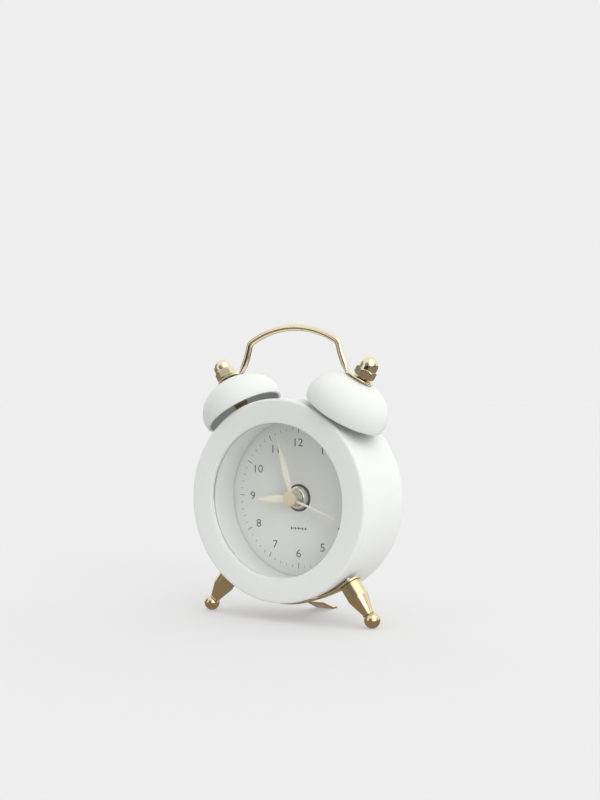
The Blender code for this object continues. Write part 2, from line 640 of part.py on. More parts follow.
def make_train():
    at = train_places()
    up = math.pi / 2

    # Motion work on the front side of the middle plate.
    wheel = gear_blank("alarm_wheel", 24, 0.6, ALARM_LAYER, math.pi, finish=NYLON)
    join(wheel, rod("alarm_tube", ALARM_TUBE[1], ALARM_HAND_Y - 0.1, 16.0, 16))
    cut(wheel, rod("alarm_bore", ALARM_TUBE[0], 9.0, 18.0, 16))
    wheel = gear_blank("hour_wheel", 24, 0.48, HOUR_LAYER, 0.0, finish=NYLON)
    join(wheel, rod("hour_tube", HOUR_TUBE[1], HOUR_HAND_Y - 0.1, 17.0, 16))
    cut(wheel, rod("hour_bore", HOUR_TUBE[0], 8.0, 18.5, 16))
    pinion = gear_blank("cannon_pinion", 6, 0.6, MOTION_LAYER, 0.0, finish=BRASS)
    join(pinion, rod("minute_tube", MINUTE_TUBE[1], MINUTE_HAND_Y - 0.1, 18.0, 16))
    cut(pinion, rod("minute_bore", MINUTE_TUBE[0], 8.0, 19.5, 16))
    x, z = at["motion"]
    wheel = gear_blank("minute_wheel", 18, 0.6, MOTION_LAYER, mesh_phase(18, math.pi), x, z, NYLON)
    leaves = gear_blank("minute_wheel_pinion", 6, 0.48, (HOUR_LAYER[0] - 0.05, 17.9),
                        mesh_phase(6, math.pi), x, z)
    join(wheel, leaves, rod("minute_wheel_pivot", PIVOT_R, 18.0, MIDDLE_BACK, 10, x, z))

    # Going train behind the middle plate.
    wheel = gear_blank("centre_wheel", 45, 2 * TRAIN_DISTANCE / 51, CENTRE_LAYER, up, finish=NYLON)
    cut(wheel, rod("centre_bore", SECOND_SHAFT_R + RUN, 18.0, 21.0, 14))
    x, z = at["third"]
    wheel = gear_blank("third_wheel", 48, 2 * TRAIN_DISTANCE / 54, THIRD_LAYER, -up, x, z, NYLON)
    leaves = gear_blank("third_pinion", 6, 2 * TRAIN_DISTANCE / 51, (CENTRE_LAYER[0] - 0.05, 20.8),
                        mesh_phase(6, -up), x, z)
    join(wheel, leaves, rod("third_arbor", PIVOT_R, MIDDLE_FRONT, 23.3, 10, x, z))
    wheel = gear_blank("second_wheel", 30, 0.4, SECOND_LAYER, at["fifth_angle"], finish=NYLON)
    leaves = gear_blank("second_pinion", 6, 2 * TRAIN_DISTANCE / 54, (THIRD_LAYER[0] - 0.05, 21.8),
                        mesh_phase(6, up))
    join(wheel, leaves, rod("second_shaft", SECOND_SHAFT_R, SECOND_HAND_Y, 23.3, 12))
    x, z = at["fifth"]
    wheel = gear_blank("fifth_wheel", 36, 0.3, THIRD_LAYER, at["rotor_angle"], x, z, NYLON)
    leaves = gear_blank("fifth_pinion", 6, 0.4, (20.8, SECOND_LAYER[1] + 0.05),
                        mesh_phase(6, at["fifth_angle"] + math.pi), x, z)
    join(wheel, leaves, rod("fifth_arbor", PIVOT_R, MIDDLE_FRONT, 23.3, 10, x, z))
    x, z = at["rotor"]
    magnet = rod("rotor", 1.6, 18.9, 20.2, 16, x, z, BLACK)
    leaves = gear_blank("rotor_pinion", 6, 0.3, (20.0, THIRD_LAYER[1] + 0.05),
                        mesh_phase(6, at["rotor_angle"] + math.pi), x, z)
    join(magnet, leaves, rod("rotor_arbor", 0.25, 17.9, 23.3, 10, x, z))

    # Setting shafts that come out through the back.
    x, z = at["setter"]
    shaft = gear_blank("time_set_pinion", 6, 0.6, (MOTION_LAYER[0] - 0.05, MOTION_LAYER[1] + 0.05),
                       mesh_phase(6, at["setter_angle"] + math.pi), x, z, NYLON)
    join(shaft, rod("time_set_shaft", 0.7, 17.0, 28.6, 12, x, z))
    x, z = at["alarm"]
    shaft = gear_blank("alarm_set_pinion", 8, 0.6, (ALARM_LAYER[0] - 0.05, ALARM_LAYER[1] + 0.05),
                       mesh_phase(8, 0.0), x, z, NYLON)
    join(shaft, rod("alarm_set_shaft", 0.7, 16.0, 28.6, 12, x, z))
    for name in ("setter", "alarm"):
        x, z = at[name]
        word = "time_set_knob" if name == "setter" else "alarm_set_knob"
        knob = gear_blank(word, 16, 0.47, (KNOB_FRONT, KNOB_BACK), 0.0, x, z, PLASTIC)
        cut(knob, rod(word + "_bore", 0.76, KNOB_FRONT - 1, 28.9, 12, x, z))


# ---- movement housing, electrics, back ------------------------------------------------------

def make_module():
    at = train_places()
    plate = turned("movement_front_plate", [(2.6, PLATE_FRONT), (MODULE_R, PLATE_FRONT),
                   (MODULE_R, PLATE_BACK), (2.6, PLATE_BACK)], 28, PLASTIC)
    join(plate, rod("contact_post", 1.0, 15.0, 16.3, 10, -17.0, 6.3))
    turned("centre_bush", [(BUSH_BORE_R, 11.6), (2.7, 11.6), (2.95, 11.85), (2.95, 12.8), (3.45, 12.8),
           (3.45, 14.0), (2.3, 14.0), (2.3, 15.2), (BUSH_BORE_R, 15.2)], 20, NICKEL)

    middle = rod("middle_plate", MIDDLE_R, MIDDLE_FRONT, MIDDLE_BACK, 28, finish=PLASTIC)
    cut(middle, rod("middle_centre", SECOND_SHAFT_R + RUN, 18, 20, 12),
        rod("middle_battery", 6.95, 18, 20, 20, BATTERY_X, BATTERY_Z),
        rod("middle_alarm", 1.1, 18, 20, 12, *at["alarm"]))
    for name in ("third", "fifth", "motion"):
        cut(middle, rod("middle_" + name, PIVOT_R + RUN, 18, 20, 10, *at[name]))

    inner = MODULE_R - MODULE_WALL
    housing = turned("movement_housing", [(0, HOUSING_FLOOR), (inner, HOUSING_FLOOR),
                     (inner, HOUSING_FRONT), (MODULE_R, HOUSING_FRONT), (MODULE_R, HOUSING_BACK),
                     (0, HOUSING_BACK)], 28, PLASTIC)
    well = rod("battery_well", BATTERY_R + 1.0, 16.7, 23.2, 20, BATTERY_X, BATTERY_Z)
    join(housing, well)
    cut(housing, rod("battery_room", BATTERY_R + TOUCH, 17.3, 25, 20, BATTERY_X, BATTERY_Z))
    for angle, number in zip(SCREW_ANGLES, (1, 2, 3)):
        x, z = polar(SCREW_CIRCLE_R, math.radians(angle))
        join(housing, rod(f"boss_{number}", 1.7, 19.6, 23.2, 8, x, z))
        cut(housing, rod(f"boss_hole_{number}", 0.95, 19, 25, 8, x, z))
    for name, radius in (("third", PIVOT_R), ("fifth", PIVOT_R), ("rotor", 0.25)):
        cut(housing, rod("housing_" + name, radius + RUN, 22, 25, 10, *at[name]))
    cut(housing, rod("housing_centre", SECOND_SHAFT_R + RUN, 22, 25, 10),
        rod("housing_setter", 0.7 + RUN, 22, 25, 12, *at["setter"]),
        rod("housing_alarm", 0.7 + RUN, 22, 25, 12, *at["alarm"]),
        rod("housing_sound", 2.5, 22, 25, 16, PIEZO_X, PIEZO_Z),
        block("housing_slot", -3.4, 3.4, 22, 25, SWITCH_Z - 1.2, SWITCH_Z + 1.2))


def make_electrics():
    at = train_places()
    rotor_x, rotor_z = at["rotor"]
    frame = [(-13.2, -5.4), (-13.2, -13.4), (-12.0, -13.4), (-12.0, -17.0), (-10.8, -17.0),
             (-10.8, -13.4), (-0.8, -13.4), (-0.8, -17.0), (0.6, -17.0), (0.6, -12.2),
             (-5.4, -12.2), (-5.4, -5.4)]
    stator = extruded("stator", frame, 19.6, 20.2, STEEL)
    cut(stator, rod("stator_bore", 2.1, 19, 21, 16, rotor_x, rotor_z))
    block("coil_core", -11.8, 0.4, 18.7, 19.3, -17.0, -15.4, STEEL)
    ring = [(1.2, 0), (2.3, 0), (2.3, 8.8), (1.2, 8.8)]
    mesh = turned_mesh("coil", ring, 18, "Z")
    coil = place("coil", mesh, COPPER, spot(-10.2, 19.0, -16.2), math.pi / 2)
    coil.rotation_euler = (0.0, math.pi / 2, 0.0)
    block("circuit_board", 7.5, 16.5, 21.2, 22.0, 4.5, 12.5, BOARD)
    rod("clock_chip", 1.8, 20.3, 20.9, 14, 13.6, 9.6, BLACK)
    can = turned_mesh("quartz_crystal", [(0, 0), (1.0, 0), (1.0, 5.6), (0, 5.6)], 12, "Z")
    place("quartz_crystal", can, NICKEL, spot(9.6, 19.9, 5.6))
    turned("piezo_disc", [(0, 21.75), (PIEZO_R, 21.75), (PIEZO_R, 22.0), (4.6, 22.0), (4.6, 22.25),
           (0, 22.25)], 20, BRASS, PIEZO_X, PIEZO_Z)
    rim = BATTERY_R - 0.5
    cell = [(0, BATTERY_FRONT), (4.4, BATTERY_FRONT), (4.4, BATTERY_FRONT + 0.4), (rim, BATTERY_FRONT + 0.4),
            (BATTERY_R, BATTERY_FRONT + 0.9), (BATTERY_R, BATTERY_FRONT + BATTERY_THICK - 0.3),
            (rim, BATTERY_FRONT + BATTERY_THICK), (0, BATTERY_FRONT + BATTERY_THICK)]
    turned("button_cell", cell, 20, STEEL, BATTERY_X, BATTERY_Z)
    block("battery_contact_inner", BATTERY_X - 3.4, BATTERY_X + 3.4, 17.4, 17.55, BATTERY_Z - 0.8,
          BATTERY_Z + 0.8, NICKEL)
    strip = [(-6.2, 2.3), (-6.4, 4.0), (-17.6, 7.7), (-18.2, 5.9)]
    extruded("alarm_contact", strip, 16.6, 16.75, BRASS)


def make_back():
    at = train_places()
    cover = turned("back_cover", [(0, COVER_IN), (22.6, COVER_IN), (22.6, 23.9), (25.0, 23.9),
                   (25.0, 24.7), (22.9, 24.7), (22.9, COVER_OUT), (0, COVER_OUT)], 36, PLASTIC)
    cut(cover, rod("cover_setter", 1.0, 23, 27, 12, *at["setter"]),
        rod("cover_alarm", 1.0, 23, 27, 12, *at["alarm"]),
        rod("cover_battery", 6.4, 23, 27, 20, BATTERY_X, BATTERY_Z),
        block("cover_slot", -2.9, 2.9, 23, 27, SWITCH_Z - 1.0, SWITCH_Z + 1.0),
        block("cover_lug_gate", BATTERY_X - 7.2, BATTERY_X + 7.2, 23, 27, BATTERY_Z - 1.3, BATTERY_Z + 1.3))
    for row in range(3):
        z = PIEZO_Z + (row - 1) * 2.6
        cut(cover, block(f"sound_slot_{row}", PIEZO_X - 3.2, PIEZO_X + 3.2, 23, 27, z - 0.5, z + 0.5))
    for angle, number in zip(SCREW_ANGLES, (1, 2, 3)):
        x, z = polar(SCREW_CIRCLE_R, math.radians(angle))
        cut(cover, rod(f"cover_hole_{number}", 1.0, 23, 27, 8, x, z),
            rod(f"cover_sink_{number}", 1.9, 25.0, 27, 12, x, z))
        screw = turned(f"cover_screw_{number}", [(0, 20.0), (0.7, 20.0), (0.7, 25.3), (1.6, 25.3),
                       (1.6, 25.8), (1.2, 26.0), (0, 26.0)], 8, STEEL, x, z)
        cut(screw, block(f"driver_slot_{number}", x - 2, x + 2, 25.7, 27, z - 0.2, z + 0.2))

    door = rod("battery_door", 6.1, 23.75, COVER_OUT, 20, BATTERY_X, BATTERY_Z, PLASTIC)
    lugs = extruded("door_lugs", rectangle(-1.0, -7.0, 1.0, 7.0), 23.75, 24.1, None, BATTERY_X, BATTERY_Z)
    groove = extruded("coin_slot", rectangle(-4.6, -0.6, 4.6, 0.6), 24.9, 27, None, BATTERY_X, BATTERY_Z)
    join(door, lugs)
    cut(door, groove)

    x = -SWITCH_TRAVEL / 2
    slider = block("alarm_switch", x - 2.6, x + 2.6, COVER_OUT + TOUCH, 27.4, SWITCH_Z - 1.5, SWITCH_Z + 1.5,
                   BLACK)
    stem = block("switch_stem", x - 1.0, x + 1.0, 22.4, 26.5, SWITCH_Z - 0.7, SWITCH_Z + 0.7)
    join(slider, stem)


def main():
    for obj in list(bpy.context.scene.objects):
        bpy.data.objects.remove(obj, do_unlink=True)
    make_case()
    make_front()
    make_bells()
    make_handle()
    make_legs()
    make_bracket()
    make_hands()
    make_train()
    make_module()
    make_electrics()
    make_back()


main()
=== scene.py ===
"""Looks of a small twin-bell alarm clock, built around its packed mechanical frame.

Lengths inside the classes are millimetres, measured from the clock's own axis: x to the right
of someone looking at the dial, depth back from the bezel's front face, z up.  The Datum class
turns them into the shared frame's metres.
"""

import json
import logging
import math
from dataclasses import dataclass
from enum import Enum
from typing import Callable, Iterable, Sequence

import bmesh
import bpy
from mathutils import Matrix, Vector

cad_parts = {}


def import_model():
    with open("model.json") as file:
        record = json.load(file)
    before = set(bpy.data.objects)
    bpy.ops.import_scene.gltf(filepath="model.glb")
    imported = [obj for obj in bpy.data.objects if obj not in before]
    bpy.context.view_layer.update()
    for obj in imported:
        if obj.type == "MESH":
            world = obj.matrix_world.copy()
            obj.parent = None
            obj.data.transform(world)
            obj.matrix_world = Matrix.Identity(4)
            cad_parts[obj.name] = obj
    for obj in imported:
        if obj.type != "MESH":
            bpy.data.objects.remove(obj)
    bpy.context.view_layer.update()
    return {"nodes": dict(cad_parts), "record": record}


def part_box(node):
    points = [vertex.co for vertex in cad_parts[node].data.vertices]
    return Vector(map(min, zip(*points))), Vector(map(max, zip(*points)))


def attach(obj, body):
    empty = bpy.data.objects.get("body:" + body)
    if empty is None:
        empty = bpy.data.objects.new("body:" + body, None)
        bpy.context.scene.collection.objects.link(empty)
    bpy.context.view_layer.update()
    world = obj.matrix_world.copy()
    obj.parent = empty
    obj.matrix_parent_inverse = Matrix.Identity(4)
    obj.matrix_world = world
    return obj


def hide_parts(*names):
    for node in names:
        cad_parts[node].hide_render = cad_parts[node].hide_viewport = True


LOG = logging.getLogger("clock")
MM = 0.001
FULL_TURN = 2 * math.pi
CLOCK_BODY = "clock_body"
Profile = list[tuple[float, float]]
Station = tuple[float, float, float]
Shape = bmesh.types.BMesh
ALONG_DEPTH = Matrix.Rotation(-math.pi / 2, 4, "X")
WHITE = (1.0, 1.0, 1.0, 1.0)
FACE_UP = Matrix.Rotation(math.pi, 4, "X")


class Side(Enum):
    """The two mirrored sides of the clock, as seen by someone looking at the dial."""

    LEFT = -1
    RIGHT = 1

    @property
    def word(self) -> str:
        """The side's name as it stands in piece names."""
        return self.name.lower()


class Spindle(Enum):
    """Which way the axis of a turned piece points before it is leaned."""

    ALONG_DEPTH = "depth"
    UPRIGHT = "up"


# ---- finishes --------------------------------------------------------------------------------


def dial_in(node: bpy.types.Node, values: dict[str, object]) -> None:
    """Set a shader node's inputs.

    Args:
        node: The node.
        values: Its inputs' values by name.
    """
    for name, value in values.items():
        node.inputs[name].default_value = value


def added_node(tree: bpy.types.NodeTree, kind: str,
               values: dict[str, object] | None = None) -> bpy.types.Node:
    """Add a shader node and set its inputs.

    Args:
        tree: The node tree of a material or of the world.
        kind: The node's type without its common first part.
        values: Its inputs' values by name.

    Returns:
        The node.
    """
    node = tree.nodes.new("ShaderNode" + kind)
    dial_in(node, values or {})
    return node


@dataclass(frozen=True)
class Finish:
    """A surface finish made of a shader with fine colour, roughness and relief variation.

    Args:
        name: Material name.
        colour: Main linear colour.
        shade: Second linear colour that the fine mottling drifts towards.
        mottle: Size of the mottling as a noise scale per metre.
        roughness: Lowest and highest roughness.
        grain: Noise scale of the relief, per metre.
        relief: Height of the relief in metres.
        metallic: 1 for plated and bare metal.
        stretch: Scaling of the grain along x, y and z, for drawn or brushed metal.
        specular: Strength of the reflection on paint and plastic.
        alpha: Opacity.
    """

    name: str
    colour: tuple[float, float, float]
    shade: tuple[float, float, float]
    mottle: float = 900.0
    roughness: tuple[float, float] = (0.45, 0.55)
    grain: float = 6000.0
    relief: float = 1.0e-5
    metallic: float = 0.0
    stretch: tuple[float, float, float] = (1.0, 1.0, 1.0)
    specular: float = 0.5
    alpha: float = 1.0

    def material(self) -> bpy.types.Material:
        """Return the finish's material, making it the first time.

        Returns:
            The material.
        """
        known = bpy.data.materials.get(self.name)
        if known is not None:
            return known
        made = bpy.data.materials.new(self.name)
        made.use_nodes = True
        tree = made.node_tree
        shader = tree.nodes["Principled BSDF"]
        dial_in(shader, {"Metallic": self.metallic, "Specular IOR Level": self.specular,
                         "Alpha": self.alpha})
        place = added_node(tree, "TexCoord")
        mapping = added_node(tree, "Mapping", {"Scale": self.stretch})
        cloud = self._noise(tree, mapping, self.mottle, 3.0)
        fine = self._noise(tree, mapping, self.grain, 2.0)
        tint = added_node(tree, "Mix")
        tint.data_type = "RGBA"
        dial_in(tint, {"A": (*self.colour, 1.0), "B": (*self.shade, 1.0)})
        low, high = self.roughness
        spread = added_node(tree, "MapRange", {"From Min": 0.3, "From Max": 0.7, "To Min": low,
                                               "To Max": high})
        bump = added_node(tree, "Bump", {"Strength": 1.0, "Distance": self.relief})
        for output, socket in ((place.outputs["Object"], mapping.inputs["Vector"]),
                               (cloud.outputs["Fac"], tint.inputs["Factor"]),
                               (tint.outputs["Result"], shader.inputs["Base Color"]),
                               (fine.outputs["Fac"], spread.inputs["Value"]),
                               (spread.outputs["Result"], shader.inputs["Roughness"]),
                               (fine.outputs["Fac"], bump.inputs["Height"]),
                               (bump.outputs["Normal"], shader.inputs["Normal"])):
            tree.links.new(output, socket)
        return made

    @staticmethod
    def _noise(tree: bpy.types.NodeTree, source: bpy.types.Node, scale: float,
               detail: float) -> bpy.types.Node:
        """Add a noise texture that reads the given mapping.

        Args:
            tree: The material's node tree.
            source: The mapping node.
            scale: Noise scale per metre.
            detail: Octaves of noise.

        Returns:
            The noise node.
        """
        noise = added_node(tree, "TexNoise", {"Scale": scale, "Detail": detail})
        tree.links.new(source.outputs["Vector"], noise.inputs["Vector"])
        return noise


WHITE_PAINT = Finish("matt_white_paint", (0.81, 0.825, 0.805), (0.79, 0.805, 0.785), 260.0,
                     (0.50, 0.60), 5200.0, 6.0e-6, specular=0.35)
DIAL_PAINT = Finish("matt_dial_paint", (0.82, 0.83, 0.79), (0.80, 0.81, 0.77), 300.0,
                    (0.62, 0.72), 6000.0, 3.0e-6, specular=0.25)
RING_PLASTIC = Finish("satin_ring_plastic", (0.79, 0.81, 0.79), (0.77, 0.79, 0.77), 220.0,
                      (0.42, 0.52), 4200.0, 4.0e-6)
CHAMPAGNE = Finish("champagne_plating", (0.80, 0.72, 0.52), (0.76, 0.68, 0.48), 160.0,
                   (0.13, 0.20), 2600.0, 2.0e-6, metallic=1.0)
LEG_GOLD = Finish("polished_leg_plating", (0.76, 0.63, 0.40), (0.70, 0.57, 0.34), 140.0,
                  (0.08, 0.14), 2600.0, 2.0e-6, metallic=1.0)
# Brass for the bell posts, darker than the other gold parts: partly rougher metal, partly painted
# shade from under the bells.
SHADE_DARKENED_BRASS = Finish("shade_darkened_post_brass", (0.42, 0.34, 0.20), (0.36, 0.29, 0.17), 300.0,
                    (0.28, 0.38), 3000.0, 4.0e-6, metallic=1.0)
CAP_GOLD = Finish("satin_cap_gold", (0.83, 0.70, 0.47), (0.80, 0.66, 0.43), 400.0,
                  (0.32, 0.40), 5200.0, 3.0e-6, metallic=0.3)
NICKEL = Finish("bright_nickel", (0.88, 0.84, 0.77), (0.83, 0.79, 0.72), 420.0,
                (0.20, 0.28), 5200.0, 3.0e-6, metallic=1.0)
CREAM_LACQUER = Finish("cream_hand_lacquer", (0.93, 0.90, 0.76), (0.91, 0.88, 0.73), 500.0,
                       (0.40, 0.50), 6000.0, 3.0e-6)
PRINT_INK = Finish("dark_grey_print", (0.060, 0.062, 0.060), (0.075, 0.076, 0.074), 1500.0,
                   (0.55, 0.65), 7000.0, 2.0e-6, specular=0.3)
# Near-white mirror finish of the ring at the window's edge: a painted highlight along the lens
# edge.
LENS_EDGE_HIGHLIGHT = Finish("lens_edge_highlight_mirror", (0.95, 0.96, 0.95), (0.93, 0.94, 0.93), 400.0,
                    (0.10, 0.14), 3000.0, 1.0e-6, metallic=1.0)
LENS_CLEAR = Finish("clear_lens", (0.97, 0.98, 0.98), (0.96, 0.98, 0.98), 40.0,
                    (0.02, 0.03), 400.0, 1.0e-7, alpha=0.04)
BACK_PLASTIC = Finish("satin_back_plastic", (0.82, 0.82, 0.80), (0.80, 0.80, 0.78), 240.0,
                      (0.45, 0.58), 3800.0, 1.2e-5)
BLACK_PLASTIC = Finish("black_moulding", (0.022, 0.022, 0.023), (0.032, 0.032, 0.033), 500.0,
                       (0.40, 0.55), 3800.0, 1.0e-5)
ZINC_STEEL = Finish("zinc_plated_steel", (0.58, 0.59, 0.60), (0.50, 0.51, 0.54), 500.0,
                    (0.26, 0.38), 4200.0, 4.0e-6, metallic=1.0)
PLAIN_BRASS = Finish("plain_brass", (0.74, 0.57, 0.29), (0.66, 0.49, 0.24), 400.0,
                     (0.28, 0.38), 4200.0, 4.0e-6, metallic=1.0)
GEAR_NYLON = Finish("natural_gear_nylon", (0.84, 0.81, 0.73), (0.80, 0.77, 0.68), 500.0,
                    (0.42, 0.52), 4000.0, 5.0e-6)
MAGNET = Finish("bonded_magnet", (0.05, 0.05, 0.055), (0.08, 0.08, 0.085), 1500.0,
                (0.5, 0.6), 6000.0, 8.0e-6, metallic=0.4)
LAMINATE = Finish("brown_board_laminate", (0.42, 0.30, 0.12), (0.36, 0.25, 0.10), 700.0,
                  (0.5, 0.6), 3000.0, 6.0e-6, stretch=(1.0, 1.0, 6.0))
COPPER_WIRE = Finish("enamelled_copper", (0.62, 0.26, 0.11), (0.50, 0.19, 0.07), 300.0,
                     (0.25, 0.35), 2600.0, 3.0e-5, metallic=1.0, stretch=(8.0, 1.0, 1.0))

INNER_FINISHES: dict[str, Finish] = {
    "white_plastic": BACK_PLASTIC,
    "nylon": GEAR_NYLON,
    "steel": ZINC_STEEL,
    "brass": PLAIN_BRASS,
    "nickel": NICKEL,
    "black_plastic": BLACK_PLASTIC,
    "magnet": MAGNET,
    "board": LAMINATE,
    "copper_wire": COPPER_WIRE,
}


# ---- workshop --------------------------------------------------------------------------------


@dataclass(frozen=True)
class Datum:
    """Where the clock's axis and bezel face lie in the shared frame, in metres.

    Args:
        face: The bezel's front face along y.
        axis: Height of the clock's axis.
    """

    face: float
    axis: float

    @classmethod
    def from_frame(cls) -> "Datum":
        """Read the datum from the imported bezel.

        Returns:
            The datum.
        """
        low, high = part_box("front_bezel")
        return cls(low.y, (low.z + high.z) / 2)

    def point(self, x: float, depth: float, z: float) -> Vector:
        """Turn clock millimetres into a point of the shared frame."""
        return Vector((x * MM, self.face + depth * MM, self.axis + z * MM))

    def place(self, x: float = 0.0, depth: float = 0.0, z: float = 0.0, lean: float = 0.0,
              spindle: Spindle = Spindle.ALONG_DEPTH) -> Matrix:
        """Matrix that carries a piece drawn about its own z axis to its place.

        Args:
            x: Sideways place of the piece's origin.
            depth: Depth of the piece's origin.
            z: Height of the piece's origin above the clock's axis.
            lean: Turn about the depth direction, in radians, positive towards +x.
            spindle: Whether the piece's own z axis runs along the depth or upright.

        Returns:
            The matrix, with millimetres turned into metres.
        """
        turn = Matrix.Rotation(lean, 4, "Y")
        if spindle is Spindle.ALONG_DEPTH:
            turn = turn @ ALONG_DEPTH
        return Matrix.Translation(self.point(x, depth, z)) @ turn @ Matrix.Scale(MM, 4)


def filleted(corners: Sequence[tuple[float, float, float]], closed: bool = True,
             steps: int = 4) -> Profile:
    """Round the corners of an outline.

    Args:
        corners: Each corner's two coordinates and its fillet radius; 0 keeps it sharp.
        closed: Whether the last corner joins the first.
        steps: Segments in each fillet.

    Returns:
        The outline's points.
    """
    points: Profile = []
    count = len(corners)
    for i, (a, b, radius) in enumerate(corners):
        end_corner = not closed and i in (0, count - 1)
        if radius <= 0 or end_corner:
            points.append((a, b))
            continue
        here = Vector((a, b))
        back = Vector(corners[i - 1][:2]) - here
        onward = Vector(corners[(i + 1) % count][:2]) - here
        half = back.angle(onward) / 2
        reach = min(radius / math.tan(half), 0.49 * back.length, 0.49 * onward.length)
        fitted = reach * math.tan(half)
        bisector = (back.normalized() + onward.normalized()).normalized()
        centre = here + bisector * (fitted / math.sin(half))
        start = here + back.normalized() * reach - centre
        stop = here + onward.normalized() * reach - centre
        swing = start.angle(stop)
        for k in range(steps + 1):
            share = k / steps
            spoke = start * math.sin((1 - share) * swing) + stop * math.sin(share * swing)
            points.append(tuple(centre + spoke / math.sin(swing)))
    return points


def turned(profile: Profile, sides: int, closed: bool = True) -> Shape:
    """Spin an outline of (radius, station) points about the z axis.

    Args:
        profile: The outline.
        sides: Segments round the axis.
        closed: Whether the outline is a loop; otherwise both its ends lie on the axis.

    Returns:
        A closed bmesh with its faces pointing out.
    """
    bm = bmesh.new()
    verts = [bm.verts.new((radius, 0.0, station)) for radius, station in profile]
    pairs = list(zip(verts, verts[1:]))
    if closed:
        pairs.append((verts[-1], verts[0]))
    edges = [bm.edges.new(pair) for pair in pairs]
    bmesh.ops.spin(bm, geom=verts + edges, cent=(0, 0, 0), axis=(0, 0, 1), dvec=(0, 0, 0),
                   angle=FULL_TURN, steps=sides, use_merge=True, use_duplicate=False)
    return tidied(bm)


def tidied(bm: Shape) -> Shape:
    """Merge doubles, drop slivers and turn the faces outwards.

    Args:
        bm: The shape to clean.

    Returns:
        The same bmesh.
    """
    bmesh.ops.remove_doubles(bm, verts=bm.verts[:], dist=1e-4)
    bmesh.ops.dissolve_degenerate(bm, dist=1e-5, edges=bm.edges[:])
    bmesh.ops.recalc_face_normals(bm, faces=bm.faces[:])
    return bm


def moved(bm: Shape, matrix: Matrix) -> Shape:
    """Carry a shape elsewhere.

    Args:
        bm: The shape.
        matrix: Where to.

    Returns:
        The same bmesh.
    """
    bmesh.ops.transform(bm, matrix=matrix, verts=bm.verts[:])
    return bm


def lathe(corners: Sequence[tuple[float, float, float]], sides: int, closed: bool = True,
          steps: int = 4) -> Shape:
    """Turn an outline with rounded corners about the z axis.

    Args:
        corners: Each corner's radius and station, and its fillet radius.
        sides: Segments round the axis.
        closed: Whether the outline is a loop; otherwise both its ends lie on the axis.
        steps: Segments in each fillet.

    Returns:
        The turned shape.
    """
    return turned(filleted(corners, closed, steps), sides, closed)


def swept(half: Sequence[Station], outline: Callable[[Station], Profile]) -> Shape:
    """Carry a section along a line that is mirrored in the middle of the clock.

    Args:
        half: Stations from the middle outwards, as x, z and a value that shapes the section.
        outline: Gives a station's section as points across the line and away from it.

    Returns:
        The closed shape.
    """
    full = [(-x, z, value) for x, z, value in reversed(half[1:])] + half
    bm = bmesh.new()
    loops = []
    for i, station in enumerate(full):
        before, after = full[max(0, i - 1)], full[min(len(full) - 1, i + 1)]
        along = Vector((after[0] - before[0], 0, after[1] - before[1])).normalized()
        away = Vector((-along.z, 0, along.x))
        ring = [bm.verts.new(Vector((station[0], across, station[1])) + away * above)
                for across, above in outline(station)]
        loops.append([bm.edges.new(pair) for pair in zip(ring, ring[1:] + ring[:1])])
    for near, far in zip(loops, loops[1:]):
        bmesh.ops.bridge_loops(bm, edges=near + far)
    bmesh.ops.holes_fill(bm, edges=[e for e in bm.edges if e.is_boundary], sides=0)
    return tidied(bm)


def slab(x: float, y: float, z: float, at: tuple[float, float, float] = (0.0, 0.0, 0.0),
         edge: float = 0.0) -> Shape:
    """A block with rounded edges.

    Args:
        x: Width.
        y: Breadth.
        z: Height.
        at: Its centre.
        edge: Radius of all its edges.

    Returns:
        The block's bmesh.
    """
    bm = bmesh.new()
    box = Matrix.Translation(at) @ Matrix.Diagonal((x, y, z, 1))
    bmesh.ops.create_cube(bm, size=1.0, matrix=box)
    if edge > 0:
        bmesh.ops.bevel(bm, geom=bm.edges[:], offset=edge, offset_type="OFFSET", segments=3,
                        profile=0.5, affect="EDGES", material=-1, clamp_overlap=True)
    return bm


def linked(name: str, data: bpy.types.ID) -> bpy.types.Object:
    """Put a new object into the scene.

    Args:
        name: The object's name.
        data: Its mesh, text, lamp or camera.

    Returns:
        The object.
    """
    obj = bpy.data.objects.new(name, data)
    bpy.context.scene.collection.objects.link(obj)
    return obj


def meshed(name: str, bm: Shape) -> bpy.types.Mesh:
    """Turn a bmesh into a mesh.

    Args:
        name: The mesh's name.
        bm: The shape, used up here.

    Returns:
        The mesh.
    """
    mesh = bpy.data.meshes.new(name)
    bm.to_mesh(mesh)
    bm.free()
    return mesh


def merged(shapes: Iterable[Shape]) -> Shape:
    """Put several bmeshes together in a new one.

    Args:
        shapes: The shapes, used up here.

    Returns:
        One bmesh with all of them.
    """
    everything = bmesh.new()
    scratch = bpy.data.meshes.new("scratch")
    for shape in shapes:
        shape.to_mesh(scratch)
        everything.from_mesh(scratch)
        shape.free()
    bpy.data.meshes.remove(scratch)
    return everything


def carved(solid: Shape, cutters: Iterable[Shape],
           operation: str = "DIFFERENCE") -> Shape:
    """Cut shapes out of a solid, or join them to it.

    Args:
        solid: The closed shape that is kept.
        cutters: Closed shapes, used up here.
        operation: The Boolean modifier's operation.

    Returns:
        The new shape.
    """
    work = linked("carve_work", meshed("carve_work", solid))
    tools = [linked(f"carve_tool_{i}", meshed(f"carve_tool_{i}", cutter))
             for i, cutter in enumerate(cutters)]
    for tool in tools:
        modifier = work.modifiers.new(tool.name, "BOOLEAN")
        modifier.operation = operation
        modifier.solver = "EXACT"
        modifier.object = tool
    graph = bpy.context.evaluated_depsgraph_get()
    shaped = bpy.data.meshes.new_from_object(work.evaluated_get(graph))
    result = bmesh.new()
    result.from_mesh(shaped)
    for obj in [work, *tools]:
        mesh = obj.data
        bpy.data.objects.remove(obj)
        bpy.data.meshes.remove(mesh)
    bpy.data.meshes.remove(shaped)
    return result


